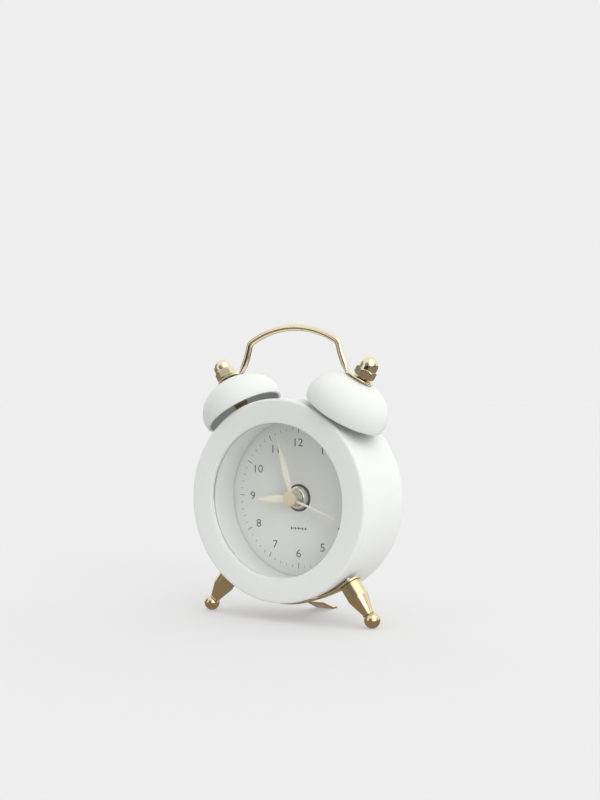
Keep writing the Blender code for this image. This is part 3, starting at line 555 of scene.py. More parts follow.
def release(name: str, bm: Shape, place: Matrix, finish: Finish,
            nodes: Sequence[str] = (), body: str = CLOCK_BODY, sharp: float = 32.0) -> None:
    """Turn a bmesh into a dressed piece that rides on its body.

    Args:
        name: The piece's name.
        bm: Its shape in millimetres, used up here.
        place: Matrix that carries the shape to the shared frame.
        finish: Its surface.
        nodes: CAD nodes that it stands for.
        body: The CAD body that it moves with.
        sharp: Edges that turn more than this many degrees stay crisp.
    """
    mesh = meshed(name, moved(bm, place))
    mesh.shade_smooth()
    mesh.set_sharp_from_angle(angle=math.radians(sharp))
    mesh.materials.append(finish.material())
    obj = linked(name, mesh)
    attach(obj, body)
    if nodes:
        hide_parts(*nodes)
    LOG.info("%s: %d faces on %s", name, len(mesh.polygons), body)


# ---- case ------------------------------------------------------------------------------------


@dataclass
class CaseAndBezel:
    """The painted steel drum, its front ring and the flat lens between them."""

    datum: Datum
    radius: float = 29.8
    wall: float = 1.0
    back: float = 26.0
    fillet: float = 5.5
    rear_opening: float = 23.2
    window: float = 22.7
    bezel_edge: float = 0.9
    seam: float = 1.75
    lens_radius: float = 25.0
    lens_front: float = 1.3
    lens_thick: float = 0.8
    lap: float = 1.2
    lap_depth: float = 1.28
    # The thin ring at the window's edge that carries the painted highlight of the lens edge.
    highlight_depth: float = 1.16
    highlight_inset: float = 0.06
    highlight_wire: float = 0.11
    sides: int = 200

    def build(self) -> None:
        """Make the drum, the front ring and the lens."""
        place = self.datum.place()
        release("case_drum", turned(self._drum(), self.sides), place, WHITE_PAINT,
                ["case_shell"])
        release("front_ring", turned(self._ring(), self.sides), place, WHITE_PAINT,
                ["front_bezel"])
        low, high = self.lens_front, self.lens_front + self.lens_thick
        disc = [(0.0, low, 0.0), (self.lens_radius, low, 0.15), (self.lens_radius, high, 0.15),
                (0.0, high, 0.0)]
        release("window_lens", lathe(disc, 128, closed=False), place,
                LENS_CLEAR, ["lens"])

        # A thin mirror-bright ring just inside the window stands in for the lens edge: painted
        # highlight, bright where it reflects the bright surroundings.
        middle = self.window - self.highlight_inset
        wire = self.highlight_wire
        highlight_loop = [(middle + wire * math.cos(a), self.highlight_depth + wire * math.sin(a))
                for a in (FULL_TURN * i / 12 for i in range(12))]
        release("lens_edge_highlight_ring", turned(highlight_loop, self.sides), place, LENS_EDGE_HIGHLIGHT)

    def _drum(self) -> Profile:
        """Outline of the drum's wall, with its rolled rear shoulder.

        Returns:
            The outline as (radius, station) points.
        """
        outer, inner = self.radius, self.radius - self.wall
        start = self.seam + 0.05
        corners = [(inner, start, 0.0), (outer, start, 0.12), (outer, self.back, self.fillet),
                   (self.rear_opening, self.back, 0.35),
                   (self.rear_opening, self.back - self.wall, 0.25),
                   (inner, self.back - self.wall, self.fillet - self.wall)]
        return filleted(corners, steps=12)

    def _ring(self) -> Profile:
        """Outline of the front ring, flat in front with a soft outer edge.

        Returns:
            The outline as (radius, station) points.
        """
        edge = self.bezel_edge
        corners = [(self.window, 0.0, 0.28), (self.radius, 0.0, edge),
                   (self.radius, self.seam, 0.1), (self.radius - self.lap, self.seam, 0.0),
                   (self.radius - self.lap, self.lap_depth, 0.0),
                   (self.window, self.lap_depth, 0.2)]
        return filleted(corners, steps=6)


# ---- dial ------------------------------------------------------------------------------------


@dataclass
class DialAndMarks:
    """The pale dial, its printed marks and figures, and the flared ring round it."""

    datum: Datum
    radius: float = 26.2
    face: float = 13.3
    thick: float = 0.5
    hole: float = 4.15
    window: float = 22.7
    ring_wall: float = 0.9
    flare: float = 0.9
    ring_top: float = 2.12
    ring_foot: float = 13.0
    tick_circle: float = 20.4
    hour_tick: tuple[float, float] = (0.2, 1.75)
    minute_tick: tuple[float, float] = (0.13, 0.75)
    figure_circle: float = 16.65
    figure_size: float = 3.45
    figure_stretch: float = 1.12
    figure_thinning: float = -0.012
    # Black ring in the dial's hole round the bush: painted shade for the dark gap there.
    gap_shade_ring: tuple[float, float] = (3.52, 4.08)
    gap_shade_ring_depth: tuple[float, float] = (13.45, 13.75)
    print_height: float = 0.02
    ornament_drop: float = 9.2
    ornament_step: float = 0.62
    lozenges: tuple[float, float] = (0.62, 0.34)
    lozenge_scale: tuple[float, float] = (0.75, 1.1)

    def build(self) -> None:
        """Make the dial, the ring and all the printing."""
        back = self.face + self.thick
        disc = [(self.hole, self.face, 0.06), (self.radius, self.face, 0.1),
                (self.radius, back, 0.1), (self.hole, back, 0.0)]
        place = self.datum.place()
        release("dial_plate", lathe(disc, 160), place, DIAL_PAINT, ["dial"])
        outer = self.window + self.ring_wall
        lip = self.ring_foot - 1.0
        ring = [(self.window, self.ring_top, 0.15), (outer, self.ring_top, 0.15),
                (outer + self.flare, lip, 0.0), (self.radius, lip, 0.1),
                (self.radius, self.ring_foot, 0.1), (self.window + self.flare, self.ring_foot, 0.3)]
        release("dial_ring_cone", lathe(ring, 200), place, RING_PLASTIC,
                ["dial_ring"])
        # A black ring round the bush inside the dial's hole: painted shade, standing for the dark
        # gap between dial and bush.
        (bore, rim), (front, back) = self.gap_shade_ring, self.gap_shade_ring_depth
        gap_shade_ring = [(bore, front, 0.05), (rim, front, 0.05), (rim, back, 0.0), (bore, back, 0.0)]
        release("bush_gap_shade_ring", lathe(gap_shade_ring, 96), place, BLACK_PLASTIC)
        self._ticks()
        self._figures()
        self._ornament()

    def _bar(self, size: tuple[float, float], turn: float, out: float) -> Shape:
        """One printed bar, standing out from the centre at a clockwise angle.

        Args:
            size: Width and length of the bar.
            turn: Clockwise angle from twelve, in radians.
            out: Distance of its middle from the centre.

        Returns:
            The bar's bmesh.
        """
        bar = slab(size[0], size[1], self.print_height, (0.0, out, 0.0))
        return moved(bar, Matrix.Rotation(-turn, 4, "Z"))

    def _print_place(self) -> Matrix:
        """Matrix for printing drawn face up in its own x and y."""
        return self.datum.place(0, self.face - 0.4 * self.print_height, 0) @ FACE_UP

    def _ticks(self) -> None:
        """Print the hour bars and the small minute bars between them."""
        hours, minutes = [], []
        for i in range(60):
            turn = FULL_TURN * i / 60
            if i % 5 == 0:
                hours.append(self._bar(self.hour_tick, turn, self.tick_circle))
            else:
                minutes.append(self._bar(self.minute_tick, turn, self.tick_circle + 0.3))
        place = self._print_place()
        release("dial_hour_marks", merged(hours), place, PRINT_INK)
        release("dial_minute_marks", merged(minutes), place, PRINT_INK)

    def _figures(self) -> None:
        """Print the twelve upright hour figures."""
        shapes = []
        for hour in range(1, 13):
            text = bpy.data.curves.new(f"figure_{hour}", "FONT")
            text.body = str(hour)
            text.size = self.figure_size
            text.offset = self.figure_thinning
            text.align_x = "CENTER"
            text.align_y = "CENTER"
            text.extrude = self.print_height / 2
            text.resolution_u = 6
            holder = linked(text.name, text)
            graph = bpy.context.evaluated_depsgraph_get()
            mesh = bpy.data.meshes.new_from_object(holder.evaluated_get(graph))
            shape = bmesh.new()
            shape.from_mesh(mesh)
            bmesh.ops.scale(shape, vec=(self.figure_stretch, 1, 1), verts=shape.verts[:])
            turn = FULL_TURN * hour / 12
            spread = [v.co.x for v in shape.verts]
            rise = [v.co.y for v in shape.verts]
            middle = Vector(((min(spread) + max(spread)) / 2, (min(rise) + max(rise)) / 2, 0))
            centre = Vector((math.sin(turn), math.cos(turn), 0)) * self.figure_circle
            shapes.append(moved(shape, Matrix.Translation(centre - middle)))
            bpy.data.objects.remove(holder)
            bpy.data.curves.remove(text)
            bpy.data.meshes.remove(mesh)
        release("dial_figures", merged(shapes), self._print_place(), PRINT_INK)

    def _ornament(self) -> None:
        """Print a small row of lozenges below the centre."""
        lozenges = []
        stretch = Matrix.Diagonal((*self.lozenge_scale, 1, 1))
        turn = Matrix.Rotation(math.pi / 4, 4, "Z")
        for i in range(-4, 5):
            size = self.lozenges[i % 2]
            drop = Matrix.Translation((i * self.ornament_step, -self.ornament_drop, 0))
            lozenges.append(moved(slab(size, size, self.print_height), drop @ stretch @ turn))
        release("dial_ornament", merged(lozenges), self._print_place(), PRINT_INK)


# ---- hands -----------------------------------------------------------------------------------


@dataclass(frozen=True)
class Hand:
    """One hand: a creased leaf on a round hub.

    Args:
        name: The CAD node it stands for.
        body: The body it turns with.
        depth: Depth of its front face.
        turn: Clockwise angle from twelve, in degrees.
        length: Centre to tip.
        widths: Half widths at the hub, at the belly and at the tip.
        belly: Where the belly lies, as a share of the length.
        hub: Outer radius of the hub.
        bore: Radius of the hub's hole.
    """

    name: str
    body: str
    depth: float
    turn: float
    length: float
    widths: tuple[float, float, float]
    belly: float
    hub: float
    bore: float

    def half_width(self, share: float) -> float:
        """Half width of the leaf at a share of its length.

        Args:
            share: Where along the hand, from 0 at the centre to 1 at the tip.

        Returns:
            Half width in millimetres.
        """
        root, belly, tip = self.widths
        if share < self.belly:
            return root + (belly - root) * math.sin(share / self.belly * math.pi / 2)
        fall = (share - self.belly) / (1 - self.belly)
        return tip + (belly - tip) * (1 - fall) ** 0.9


@dataclass
class HandStack:
    """The four hands, their hubs, the cap and the stepped bush behind them."""

    datum: Datum
    thick: float = 0.22
    ridge: float = 0.07
    gap: float = 0.1
    lift: float = 0.02
    hub_thick: float = 0.45
    hub_step: float = 0.08
    cap_radius: float = 2.2
    cap_depth: tuple[float, float] = (7.85, 8.45)
    bush_depth: tuple[float, float] = (11.6, 15.2)

    def hands(self) -> list[Hand]:
        """List the four hands from front to back.

        Returns:
            The hands.
        """
        return [Hand("second_hand", "second_train", 8.75, 108.8, 16.7, (0.34, 0.30, 0.13), 0.4,
                     1.3, 0.41),
                Hand("minute_hand", "minute_train", 9.45, 343.5, 19.1, (0.42, 1.00, 0.10), 0.40,
                     1.9, 0.86),
                Hand("hour_hand", "hour_train", 10.15, 267.0, 13.4, (0.62, 1.15, 0.14), 0.40,
                     2.2, 1.31),
                Hand("alarm_hand", "alarm_train", 10.85, 261.4, 12.0, (0.42, 0.60, 0.14), 0.5,
                     2.4, 1.76)]

    def build(self) -> None:
        """Make every hand, the cap and the bush."""
        for hand in self.hands():
            self._leaf(hand)
            self._hub(hand)
        front, back = self.cap_depth
        cap = [(0.0, front, 0.0), (self.cap_radius, front, 0.12),
               (self.cap_radius, back - 0.18, 0.05), (self.cap_radius - 0.3, back, 0.0),
               (0.0, back, 0.0)]
        release("centre_cap", lathe(cap, 96, closed=False), self.datum.place(), CAP_GOLD,
                ["hand_cap"], "second_train")
        self._bush()

    def _leaf(self, hand: Hand) -> None:
        """Make one hand's leaf: a creased strip given thickness.

        Args:
            hand: Which hand.
        """
        bm = bmesh.new()
        bmesh.ops.create_grid(bm, x_segments=4, y_segments=36, size=1.0)
        root = hand.bore + self.gap
        for vert in bm.verts:
            share = (vert.co.y + 1) / 2
            across = vert.co.x
            vert.co.x = across * hand.half_width(share)
            vert.co.y = root + share * (hand.length - root)
            vert.co.z = self.ridge * (1 - abs(across)) * min(1.0, hand.half_width(share))
        bmesh.ops.recalc_face_normals(bm, faces=bm.faces[:])
        bmesh.ops.solidify(bm, geom=bm.faces[:], thickness=self.thick)
        tidied(bm)
        seat = Matrix.Translation((0, 0, -min(v.co.z for v in bm.verts)))
        turn = Matrix.Rotation(-math.radians(hand.turn), 4, "Z")
        lift = self.datum.place(0, hand.depth + self.thick + self.lift, 0)
        release(hand.name + "_leaf", moved(bm, seat), lift @ FACE_UP @ turn, CREAM_LACQUER,
                [hand.name], hand.body, 40)

    def _hub(self, hand: Hand) -> None:
        """Make the pressed metal hub that carries a leaf.

        Args:
            hand: Which hand.
        """
        hub, bore, step, back = hand.hub, hand.bore, self.hub_step, self.hub_thick
        collar = [(bore, 0.0, 0.04), (hub - 0.25, 0.0, 0.05), (hub - 0.25, step, 0.0),
                  (hub, step, 0.06), (hub, back, 0.08), (bore, back, 0.04)]
        release(hand.name + "_hub", lathe(collar, 96), self.datum.place(0, hand.depth, 0),
                CAP_GOLD if hand.name == "second_hand" else NICKEL, body=hand.body)

    def _bush(self) -> None:
        """Make the stepped bush with its ringed thread."""
        front, back = self.bush_depth
        bore, neck, nut, foot = 1.85, 2.95, 3.45, 2.3
        crest, pitch, seat, end = 0.1, 0.3, front + 1.2, front + 2.4
        outline: list[Station] = [(bore, front, 0.05), (neck - 0.25, front, 0.05)]
        station = front + 0.15
        while station + pitch < seat:
            outline += [(neck, station, 0.03), (neck - crest, station + pitch / 2, 0.03)]
            station += pitch
        outline += [(neck, seat, 0.0), (nut, seat, 0.12), (nut, end, 0.1), (foot, end, 0.05),
                    (foot, back, 0.1), (bore, back, 0.05)]
        release("centre_bush_nut", lathe(outline, 96, steps=2), self.datum.place(), NICKEL,
                ["centre_bush"])


# ---- bells -----------------------------------------------------------------------------------


@dataclass
class BellPair:
    """The two domed bells with their posts and acorn nuts."""

    datum: Datum
    lean: float = math.radians(31.4)
    x: float = 17.47
    z: float = 25.59
    depth: float = 10.2
    radius: float = 12.55
    rise: float = 9.15
    middle: float = 2.0
    wall: float = 0.8
    hole: float = 1.75
    tab_thick: float = 0.6
    touch: float = 0.3
    nut_flats: float = 5.5
    nut_height: float = 6.3
    nut_hex: float = 2.6
    nut_roof: float = 2.6
    dome: float = 2.7
    lip: float = 0.12
    post_stations: tuple[float, float, float, float] = (-4.25, -0.85, 1.75, 2.15)
    post_radii: tuple[float, float, float, float] = (0.95, 2.15, 1.95, 1.45)

    def build(self) -> None:
        """Make both bells with their hardware."""
        for side in Side:
            place = self.datum.place(side.value * self.x, self.depth, self.z,
                                     side.value * self.lean, Spindle.UPRIGHT)
            word = side.word
            release(f"bell_dome_{word}", turned(self._dome(), 144), place, WHITE_PAINT,
                    [f"bell_{word}"])
            # The post's darkened brass holds painted shade from under its bell.
            release(f"bell_pillar_{word}", self._pillar(), place,
                    SHADE_DARKENED_BRASS, [f"bell_post_{word}"])
            release(f"dome_nut_{word}", self._nut(), place, CHAMPAGNE,
                    [f"acorn_nut_{word}"], sharp=24)

    def _dome(self) -> Profile:
        """Outline of a bell's wall: outside up from the rim, inside back down.

        Returns:
            The outline as (radius, station) points.
        """
        def wall(shrink: float, steps: int) -> Profile:
            """Points up one face of the wall, set in from the outside.

            Args:
                shrink: How far the face is set in.
                steps: Number of segments.

            Returns:
                The points from rim to crown.
            """
            start = math.asin((self.lip - self.middle) / (self.rise - shrink))
            stop = math.acos(self.hole / (self.radius - shrink))
            angles = [start + (stop - start) * i / steps for i in range(steps + 1)]
            return [((self.radius - shrink) * math.cos(a),
                     self.middle + (self.rise - shrink) * math.sin(a)) for a in angles]

        outside, inside = wall(0.0, 36), wall(self.wall, 30)
        rim_out, rim_in = outside[0][0], inside[0][0]
        rim_middle, rim_half = (rim_out + rim_in) / 2, (rim_out - rim_in) / 2
        lip = [(rim_middle - rim_half * math.cos(a), self.lip - self.lip * math.sin(a))
               for a in (math.pi * i / 6 for i in range(1, 6))]
        return outside + list(reversed(inside)) + lip

    def _pillar(self) -> Shape:
        """The post inside a bell, up to the stud's end in the nut.

        Returns:
            The post's bmesh.
        """
        crown = self.middle + self.rise
        shoulder = crown - self.wall - self.touch
        tip = crown + 2 * self.touch + self.tab_thick + self.nut_height - self.nut_roof
        tail, foot, groove_low, groove_high = self.post_stations
        screw, post, groove, stud = self.post_radii
        corners = [(0.0, tail, 0.0), (screw, tail, 0.1), (screw, foot, 0.0), (post, foot, 0.18),
                   (post, groove_low - 0.15, 0.05), (groove, groove_low, 0.0),
                   (groove, groove_high, 0.0), (post, groove_high + 0.15, 0.05),
                   (post, shoulder, 0.15), (stud, shoulder, 0.0), (stud, tip, 0.2),
                   (0.0, tip, 0.0)]
        return lathe(corners, 72, closed=False, steps=3)

    def _nut(self) -> Shape:
        """A domed hexagon nut whose corners are chamfered by a cone.

        Returns:
            The nut's bmesh.
        """
        foot = self.middle + self.rise + 2 * self.touch + self.tab_thick
        flat = self.nut_flats / 2
        corner = flat / math.cos(math.pi / 6)
        top = foot + self.nut_hex
        low = [(0.0, foot), (flat - 0.15, foot), (flat - 0.05, foot + 0.02)]
        chamfer = [(flat + (corner - flat) * t, foot + 0.02 + 0.32 * t)
                   for t in (0.25, 0.5, 0.75, 1.0)]
        side = [(corner, foot + 0.34 + (self.nut_hex - 0.82) * t / 3) for t in (1, 2, 3)]
        shed = [(corner - (corner - self.dome - 0.1) * t, top - 0.48 + 0.48 * t)
                for t in (0.2, 0.4, 0.6, 0.8, 1.0)]
        cap_middle = foot + self.nut_height - self.dome
        waist = [(self.dome - 0.05, top + 0.03), (self.dome, top + 0.12)]
        cap = [(self.dome * math.cos(a), cap_middle + self.dome * math.sin(a))
               for a in (math.pi / 2 * i / 16 for i in range(17))]
        cap[-1] = (0.0, cap_middle + self.dome)
        nut = turned(low + chamfer + side + shed + waist + cap, 96, closed=False)
        sector = math.pi / 3
        for vert in nut.verts:
            radius = math.hypot(vert.co.x, vert.co.y)
            if radius < 1e-6 or vert.co.z > top + 1e-6:
                continue
            angle = math.atan2(vert.co.y, vert.co.x) % sector - sector / 2
            limit = flat / math.cos(angle)
            if radius > limit:
                vert.co.x *= limit / radius
                vert.co.y *= limit / radius
        return tidied(moved(nut, Matrix.Rotation(sector / 2, 4, "Z")))


# ---- handle ----------------------------------------------------------------------------------


@dataclass
class CarryHandle:
    """The arched wire handle with flattened tabs under the nuts."""

    datum: Datum
    bells: BellPair
    crown_z: float = 50.95
    crown_radius: float = 28.9
    shoulder_x: float = 14.4
    shoulder_radius: float = 3.2
    leg_angle: float = math.radians(68.0)
    wire: float = 1.0
    bow: float = 0.33
    tab_half: float = 3.6
    tab_reach: tuple[float, float] = (-5.2, 3.58)
    tab_neck: float = -5.4
    flat_from: float = -6.2
    flat_over: float = 1.6
    settle_from: float = 0.7
    drilled: tuple[float, float] = (9.0, 15.0)
    sides: int = 32

    def build(self) -> None:
        """Sweep the wire and drill the two tabs."""
        near, far = self.drilled
        drills = []
        for side in Side:
            hole = self.bells.hole
            drill = turned([(0.0, near), (hole, near), (hole, far), (0.0, far)], 48, closed=False)
            at = Matrix.Translation((side.value * self.bells.x, 0, self.bells.z))
            lean = Matrix.Rotation(side.value * self.bells.lean, 4, "Y")
            drills.append(moved(drill, at @ lean))
        handle = carved(swept(self._route(), self._section), drills)
        place = self.datum.place(0, self.bells.depth, 0, spindle=Spindle.UPRIGHT)
        release("wire_handle", handle, place, CHAMPAGNE, ["handle"], sharp=50)

    def _section(self, station: Station) -> Profile:
        """Cross-section of the wire, which flattens and squares up towards the tab.

        Args:
            station: The line's x and z, and 0 for round wire to 1 for the flat tab.

        Returns:
            The section's points.
        """
        x, _, flat = station
        bells = self.bells
        rise = bells.rise + bells.middle
        reach = (abs(x) - bells.x - math.sin(bells.lean) * rise) / math.cos(bells.lean)
        wide = self.wire + flat * (self._tab_half_width(reach) - self.wire)
        thick = self.wire + flat * (bells.tab_thick / 2 - self.wire)
        square = 1.0 - 0.55 * flat
        points = []
        for i in range(self.sides):
            angle = FULL_TURN * i / self.sides
            c, s = -math.sin(angle), math.cos(angle)
            points.append((math.copysign(abs(c) ** square, c) * wide,
                           math.copysign(abs(s) ** square, s) * thick))
        return points

    def _tab_half_width(self, reach: float) -> float:
        """Plan outline of the tab: round about the stud, necking down to the wire.

        Args:
            reach: Distance from the stud's middle, positive outwards.

        Returns:
            Half width in millimetres.
        """
        if reach > 0:
            return math.sqrt(max(0.1, self.tab_half ** 2 - reach ** 2))
        fade = math.cos(min(1.0, reach / self.tab_neck) * math.pi / 2) ** 0.8
        return self.wire + (self.tab_half - self.wire) * fade

    def _route(self) -> list[tuple[float, float, float]]:
        """Half of the centre line as x, z and flatness, from the crown to the tab's end.

        Returns:
            The stations in order.
        """
        lean = math.asin(self.shoulder_x / self.crown_radius)
        middle = self.crown_z - self.crown_radius
        route = [(self.crown_radius * math.sin(lean * i / 18),
                  middle + self.crown_radius * math.cos(lean * i / 18), 0.0) for i in range(18)]
        bend = self.crown_radius - self.shoulder_radius
        bend_x, bend_z = bend * math.sin(lean), middle + bend * math.cos(lean)
        for i in range(11):
            angle = lean + (self.leg_angle - lean) * i / 10
            route.append((bend_x + self.shoulder_radius * math.sin(angle),
                          bend_z + self.shoulder_radius * math.cos(angle), 0.0))
        bells, (start, stop) = self.bells, self.tab_reach
        tab = []
        for i in range(35):
            reach = start + (stop - start) * (1 - (1 - i / 34) ** 1.35)
            height = (bells.middle + bells.rise * math.sqrt(1 - (reach / bells.radius) ** 2)
                      + bells.touch + bells.tab_thick / 2)
            x = bells.x + math.sin(bells.lean) * height + reach * math.cos(bells.lean)
            z = bells.z + math.cos(bells.lean) * height - reach * math.sin(bells.lean)
            tab.append((x, z, min(1.0, (reach - self.flat_from) / self.flat_over)))
        (x, z, _), (foot_x, foot_z, flat) = route[-1], tab[0]
        for i in range(1, 13):
            share = i / 13
            settle = max(0.0, (share - self.settle_from) / (1 - self.settle_from))
            route.append((x + (foot_x - x) * share - self.bow * math.sin(math.pi * share),
                          z + (foot_z - z) * share, flat * settle * settle * (3 - 2 * settle)))
        return route + tab


# ---- legs ------------------------------------------------------------------------------------


@dataclass
class LegsAndStrap:
    """The two turned legs, and the sheet strap that joins them and props the clock behind."""

    datum: Datum
    ball_x: float = 28.09
    ball_z: float = -33.1
    ball: float = 2.3
    depth: float = 7.8
    tilt: float = math.radians(36.7)
    length: float = 12.05
    radius: float = 3.05
    straight: float = 4.6
    neck: float = 1.5
    strap_radius: float = 30.6
    strap_thick: float = 0.6
    strap_corner: float = 0.14
    strap_round: float = math.radians(24.0)
    strap_half: float = 3.4
    tab_reach: tuple[float, float] = (-2.6, 3.42)
    tab_setback: float = 3.2
    tongue_half: float = 3.0
    knee: tuple[float, float] = (23.0, -33.1)
    foot: tuple[float, float] = (28.5, 31.0)
    floor: float = -35.4

    def build(self) -> None:
        """Make both legs and the strap with its tongue."""
        for side in Side:
            place = self.datum.place(side.value * self.ball_x, self.depth, self.ball_z,
                                -side.value * self.tilt, Spindle.UPRIGHT)
            release(f"turned_leg_{side.word}", turned(self._leg(), 112, closed=False), place,
                    LEG_GOLD, [f"leg_{side.word}"])
        strap = swept(self._strap_route(), self._strap_section)
        shape = merged([strap, self._tongue()])
        place = self.datum.place(0, 0, 0, spindle=Spindle.UPRIGHT)
        release("foot_strap", shape, place, LEG_GOLD, ["leg_bracket"])

    def _leg(self) -> Profile:
        """Outline of a leg: ball foot, ringed neck, cone and plain top.

        Returns:
            The outline as (radius, station) points.
        """
        neck_angle = math.acos(self.neck * 0.92 / self.ball)
        ball = [(self.ball * math.cos(a), self.ball * math.sin(a))
                for a in (-math.pi / 2 + (neck_angle + math.pi / 2) * i / 24 for i in range(25))]
        ball[0] = (0.0, -self.ball)
        neck_z = ball[-1][1]
        shoulder = self.length - self.straight
        neck, radius, length = self.neck, self.radius, self.length
        collar = [(neck + 0.16, neck_z + 0.1, 0.06), (neck + 0.2, neck_z + 0.42, 0.08),
                  (neck + 0.05, neck_z + 0.55, 0.03), (radius, shoulder, 2.6),
                  (radius - 0.02, length - 0.42, 0.0), (radius + 0.06, length - 0.38, 0.03),
                  (radius + 0.06, length - 0.08, 0.06), (radius - 0.3, length, 0.0),
                  (0.0, length, 0.0)]
        start = (ball[-1][0], ball[-1][1], 0.0)
        return ball[:-1] + filleted([start, *collar], closed=False, steps=6)

    def _strap_route(self) -> list[tuple[float, float, float]]:
        """Half of the strap's lower line as x, z and half width.

        Returns:
            The stations in order.
        """
        route = []
        for i in range(17):
            angle = self.strap_round * i / 16
            route.append((self.strap_radius * math.sin(angle), -self.strap_radius * math.cos(angle),
                          self.strap_half))
        rise = self.length + 0.1
        top_x = self.ball_x - math.sin(self.tilt) * rise
        top_z = self.ball_z + math.cos(self.tilt) * rise
        start_x, start_z = route[-1][:2]
        tab_x = top_x - self.tab_setback * math.cos(self.tilt)
        tab_z = top_z - self.tab_setback * math.sin(self.tilt)
        for share in (0.35, 0.7, 0.9):
            route.append((start_x + (tab_x - start_x) * share, start_z + (tab_z - start_z) * share,
                          self.strap_half))
        start, stop = self.tab_reach
        for i in range(25):
            reach = start + (stop - start) * (1 - (1 - i / 24) ** 1.5)
            half = math.sqrt(max(0.05, (self.strap_half + 0.1) ** 2 - max(0.0, reach) ** 2))
            route.append((top_x + reach * math.cos(self.tilt), top_z + reach * math.sin(self.tilt),
                          min(half, self.strap_half)))
        return route

    def _strap_section(self, station: Station) -> Profile:
        """Cross-section of the strap, at its true depth.

        Args:
            station: The line's x and z, and the strap's half width.

        Returns:
            The section's points.
        """
        wide, thick, corner = station[2], self.strap_thick, self.strap_corner
        outline = filleted([(-wide, 0.0, corner), (wide, 0.0, corner), (wide, thick, corner),
                            (-wide, thick, corner)], steps=3)
        return [(self.depth + across, above) for across, above in outline]

    def _tongue(self) -> Shape:
        """The tongue that slopes back and down to the floor.

        Returns:
            The tongue's bmesh.
        """
        rear = self.depth + self.strap_half
        top = -self.strap_radius + self.strap_thick / 2
        low = -self.strap_radius - 0.25
        (knee_depth, knee_z), (foot_start, foot_end) = self.knee, self.foot
        thick, floor = self.strap_thick, self.floor
        corners = [(rear - 2.5, top, 0.0), (rear - 2.5, top - 0.1, 0.0), (rear + 0.8, low, 2.0),
                   (knee_depth, knee_z, 6.0), (foot_start, floor, 1.5), (foot_end, floor, 0.15),
                   (foot_end, floor + thick, 0.15), (foot_start + 0.2, floor + thick, 1.2),
                   (knee_depth + 0.1, knee_z + thick, 6.0),
                   (rear + 1.0, low + thick, 2.0), (rear - 0.4, top, 0.0)]
        bm = bmesh.new()
        outline = filleted(corners, steps=6)
        verts = [bm.verts.new((-self.tongue_half, depth, z)) for depth, z in outline]
        face = bm.faces.new(verts)
        grown = bmesh.ops.extrude_face_region(bm, geom=[face])
        far_side = [v for v in grown["geom"] if isinstance(v, bmesh.types.BMVert)]
        bmesh.ops.translate(bm, vec=(2 * self.tongue_half, 0, 0), verts=far_side)
        tidied(bm)
        rims = [e for e in bm.edges if abs(abs(e.verts[0].co.x) - self.tongue_half) < 1e-6
                and abs(e.verts[0].co.x - e.verts[1].co.x) < 1e-6]
        bmesh.ops.bevel(bm, geom=rims, offset=0.12, offset_type="OFFSET", segments=2, profile=0.5,
                        affect="EDGES", material=-1, clamp_overlap=True)
        return bm


# ---- back ------------------------------------------------------------------------------------


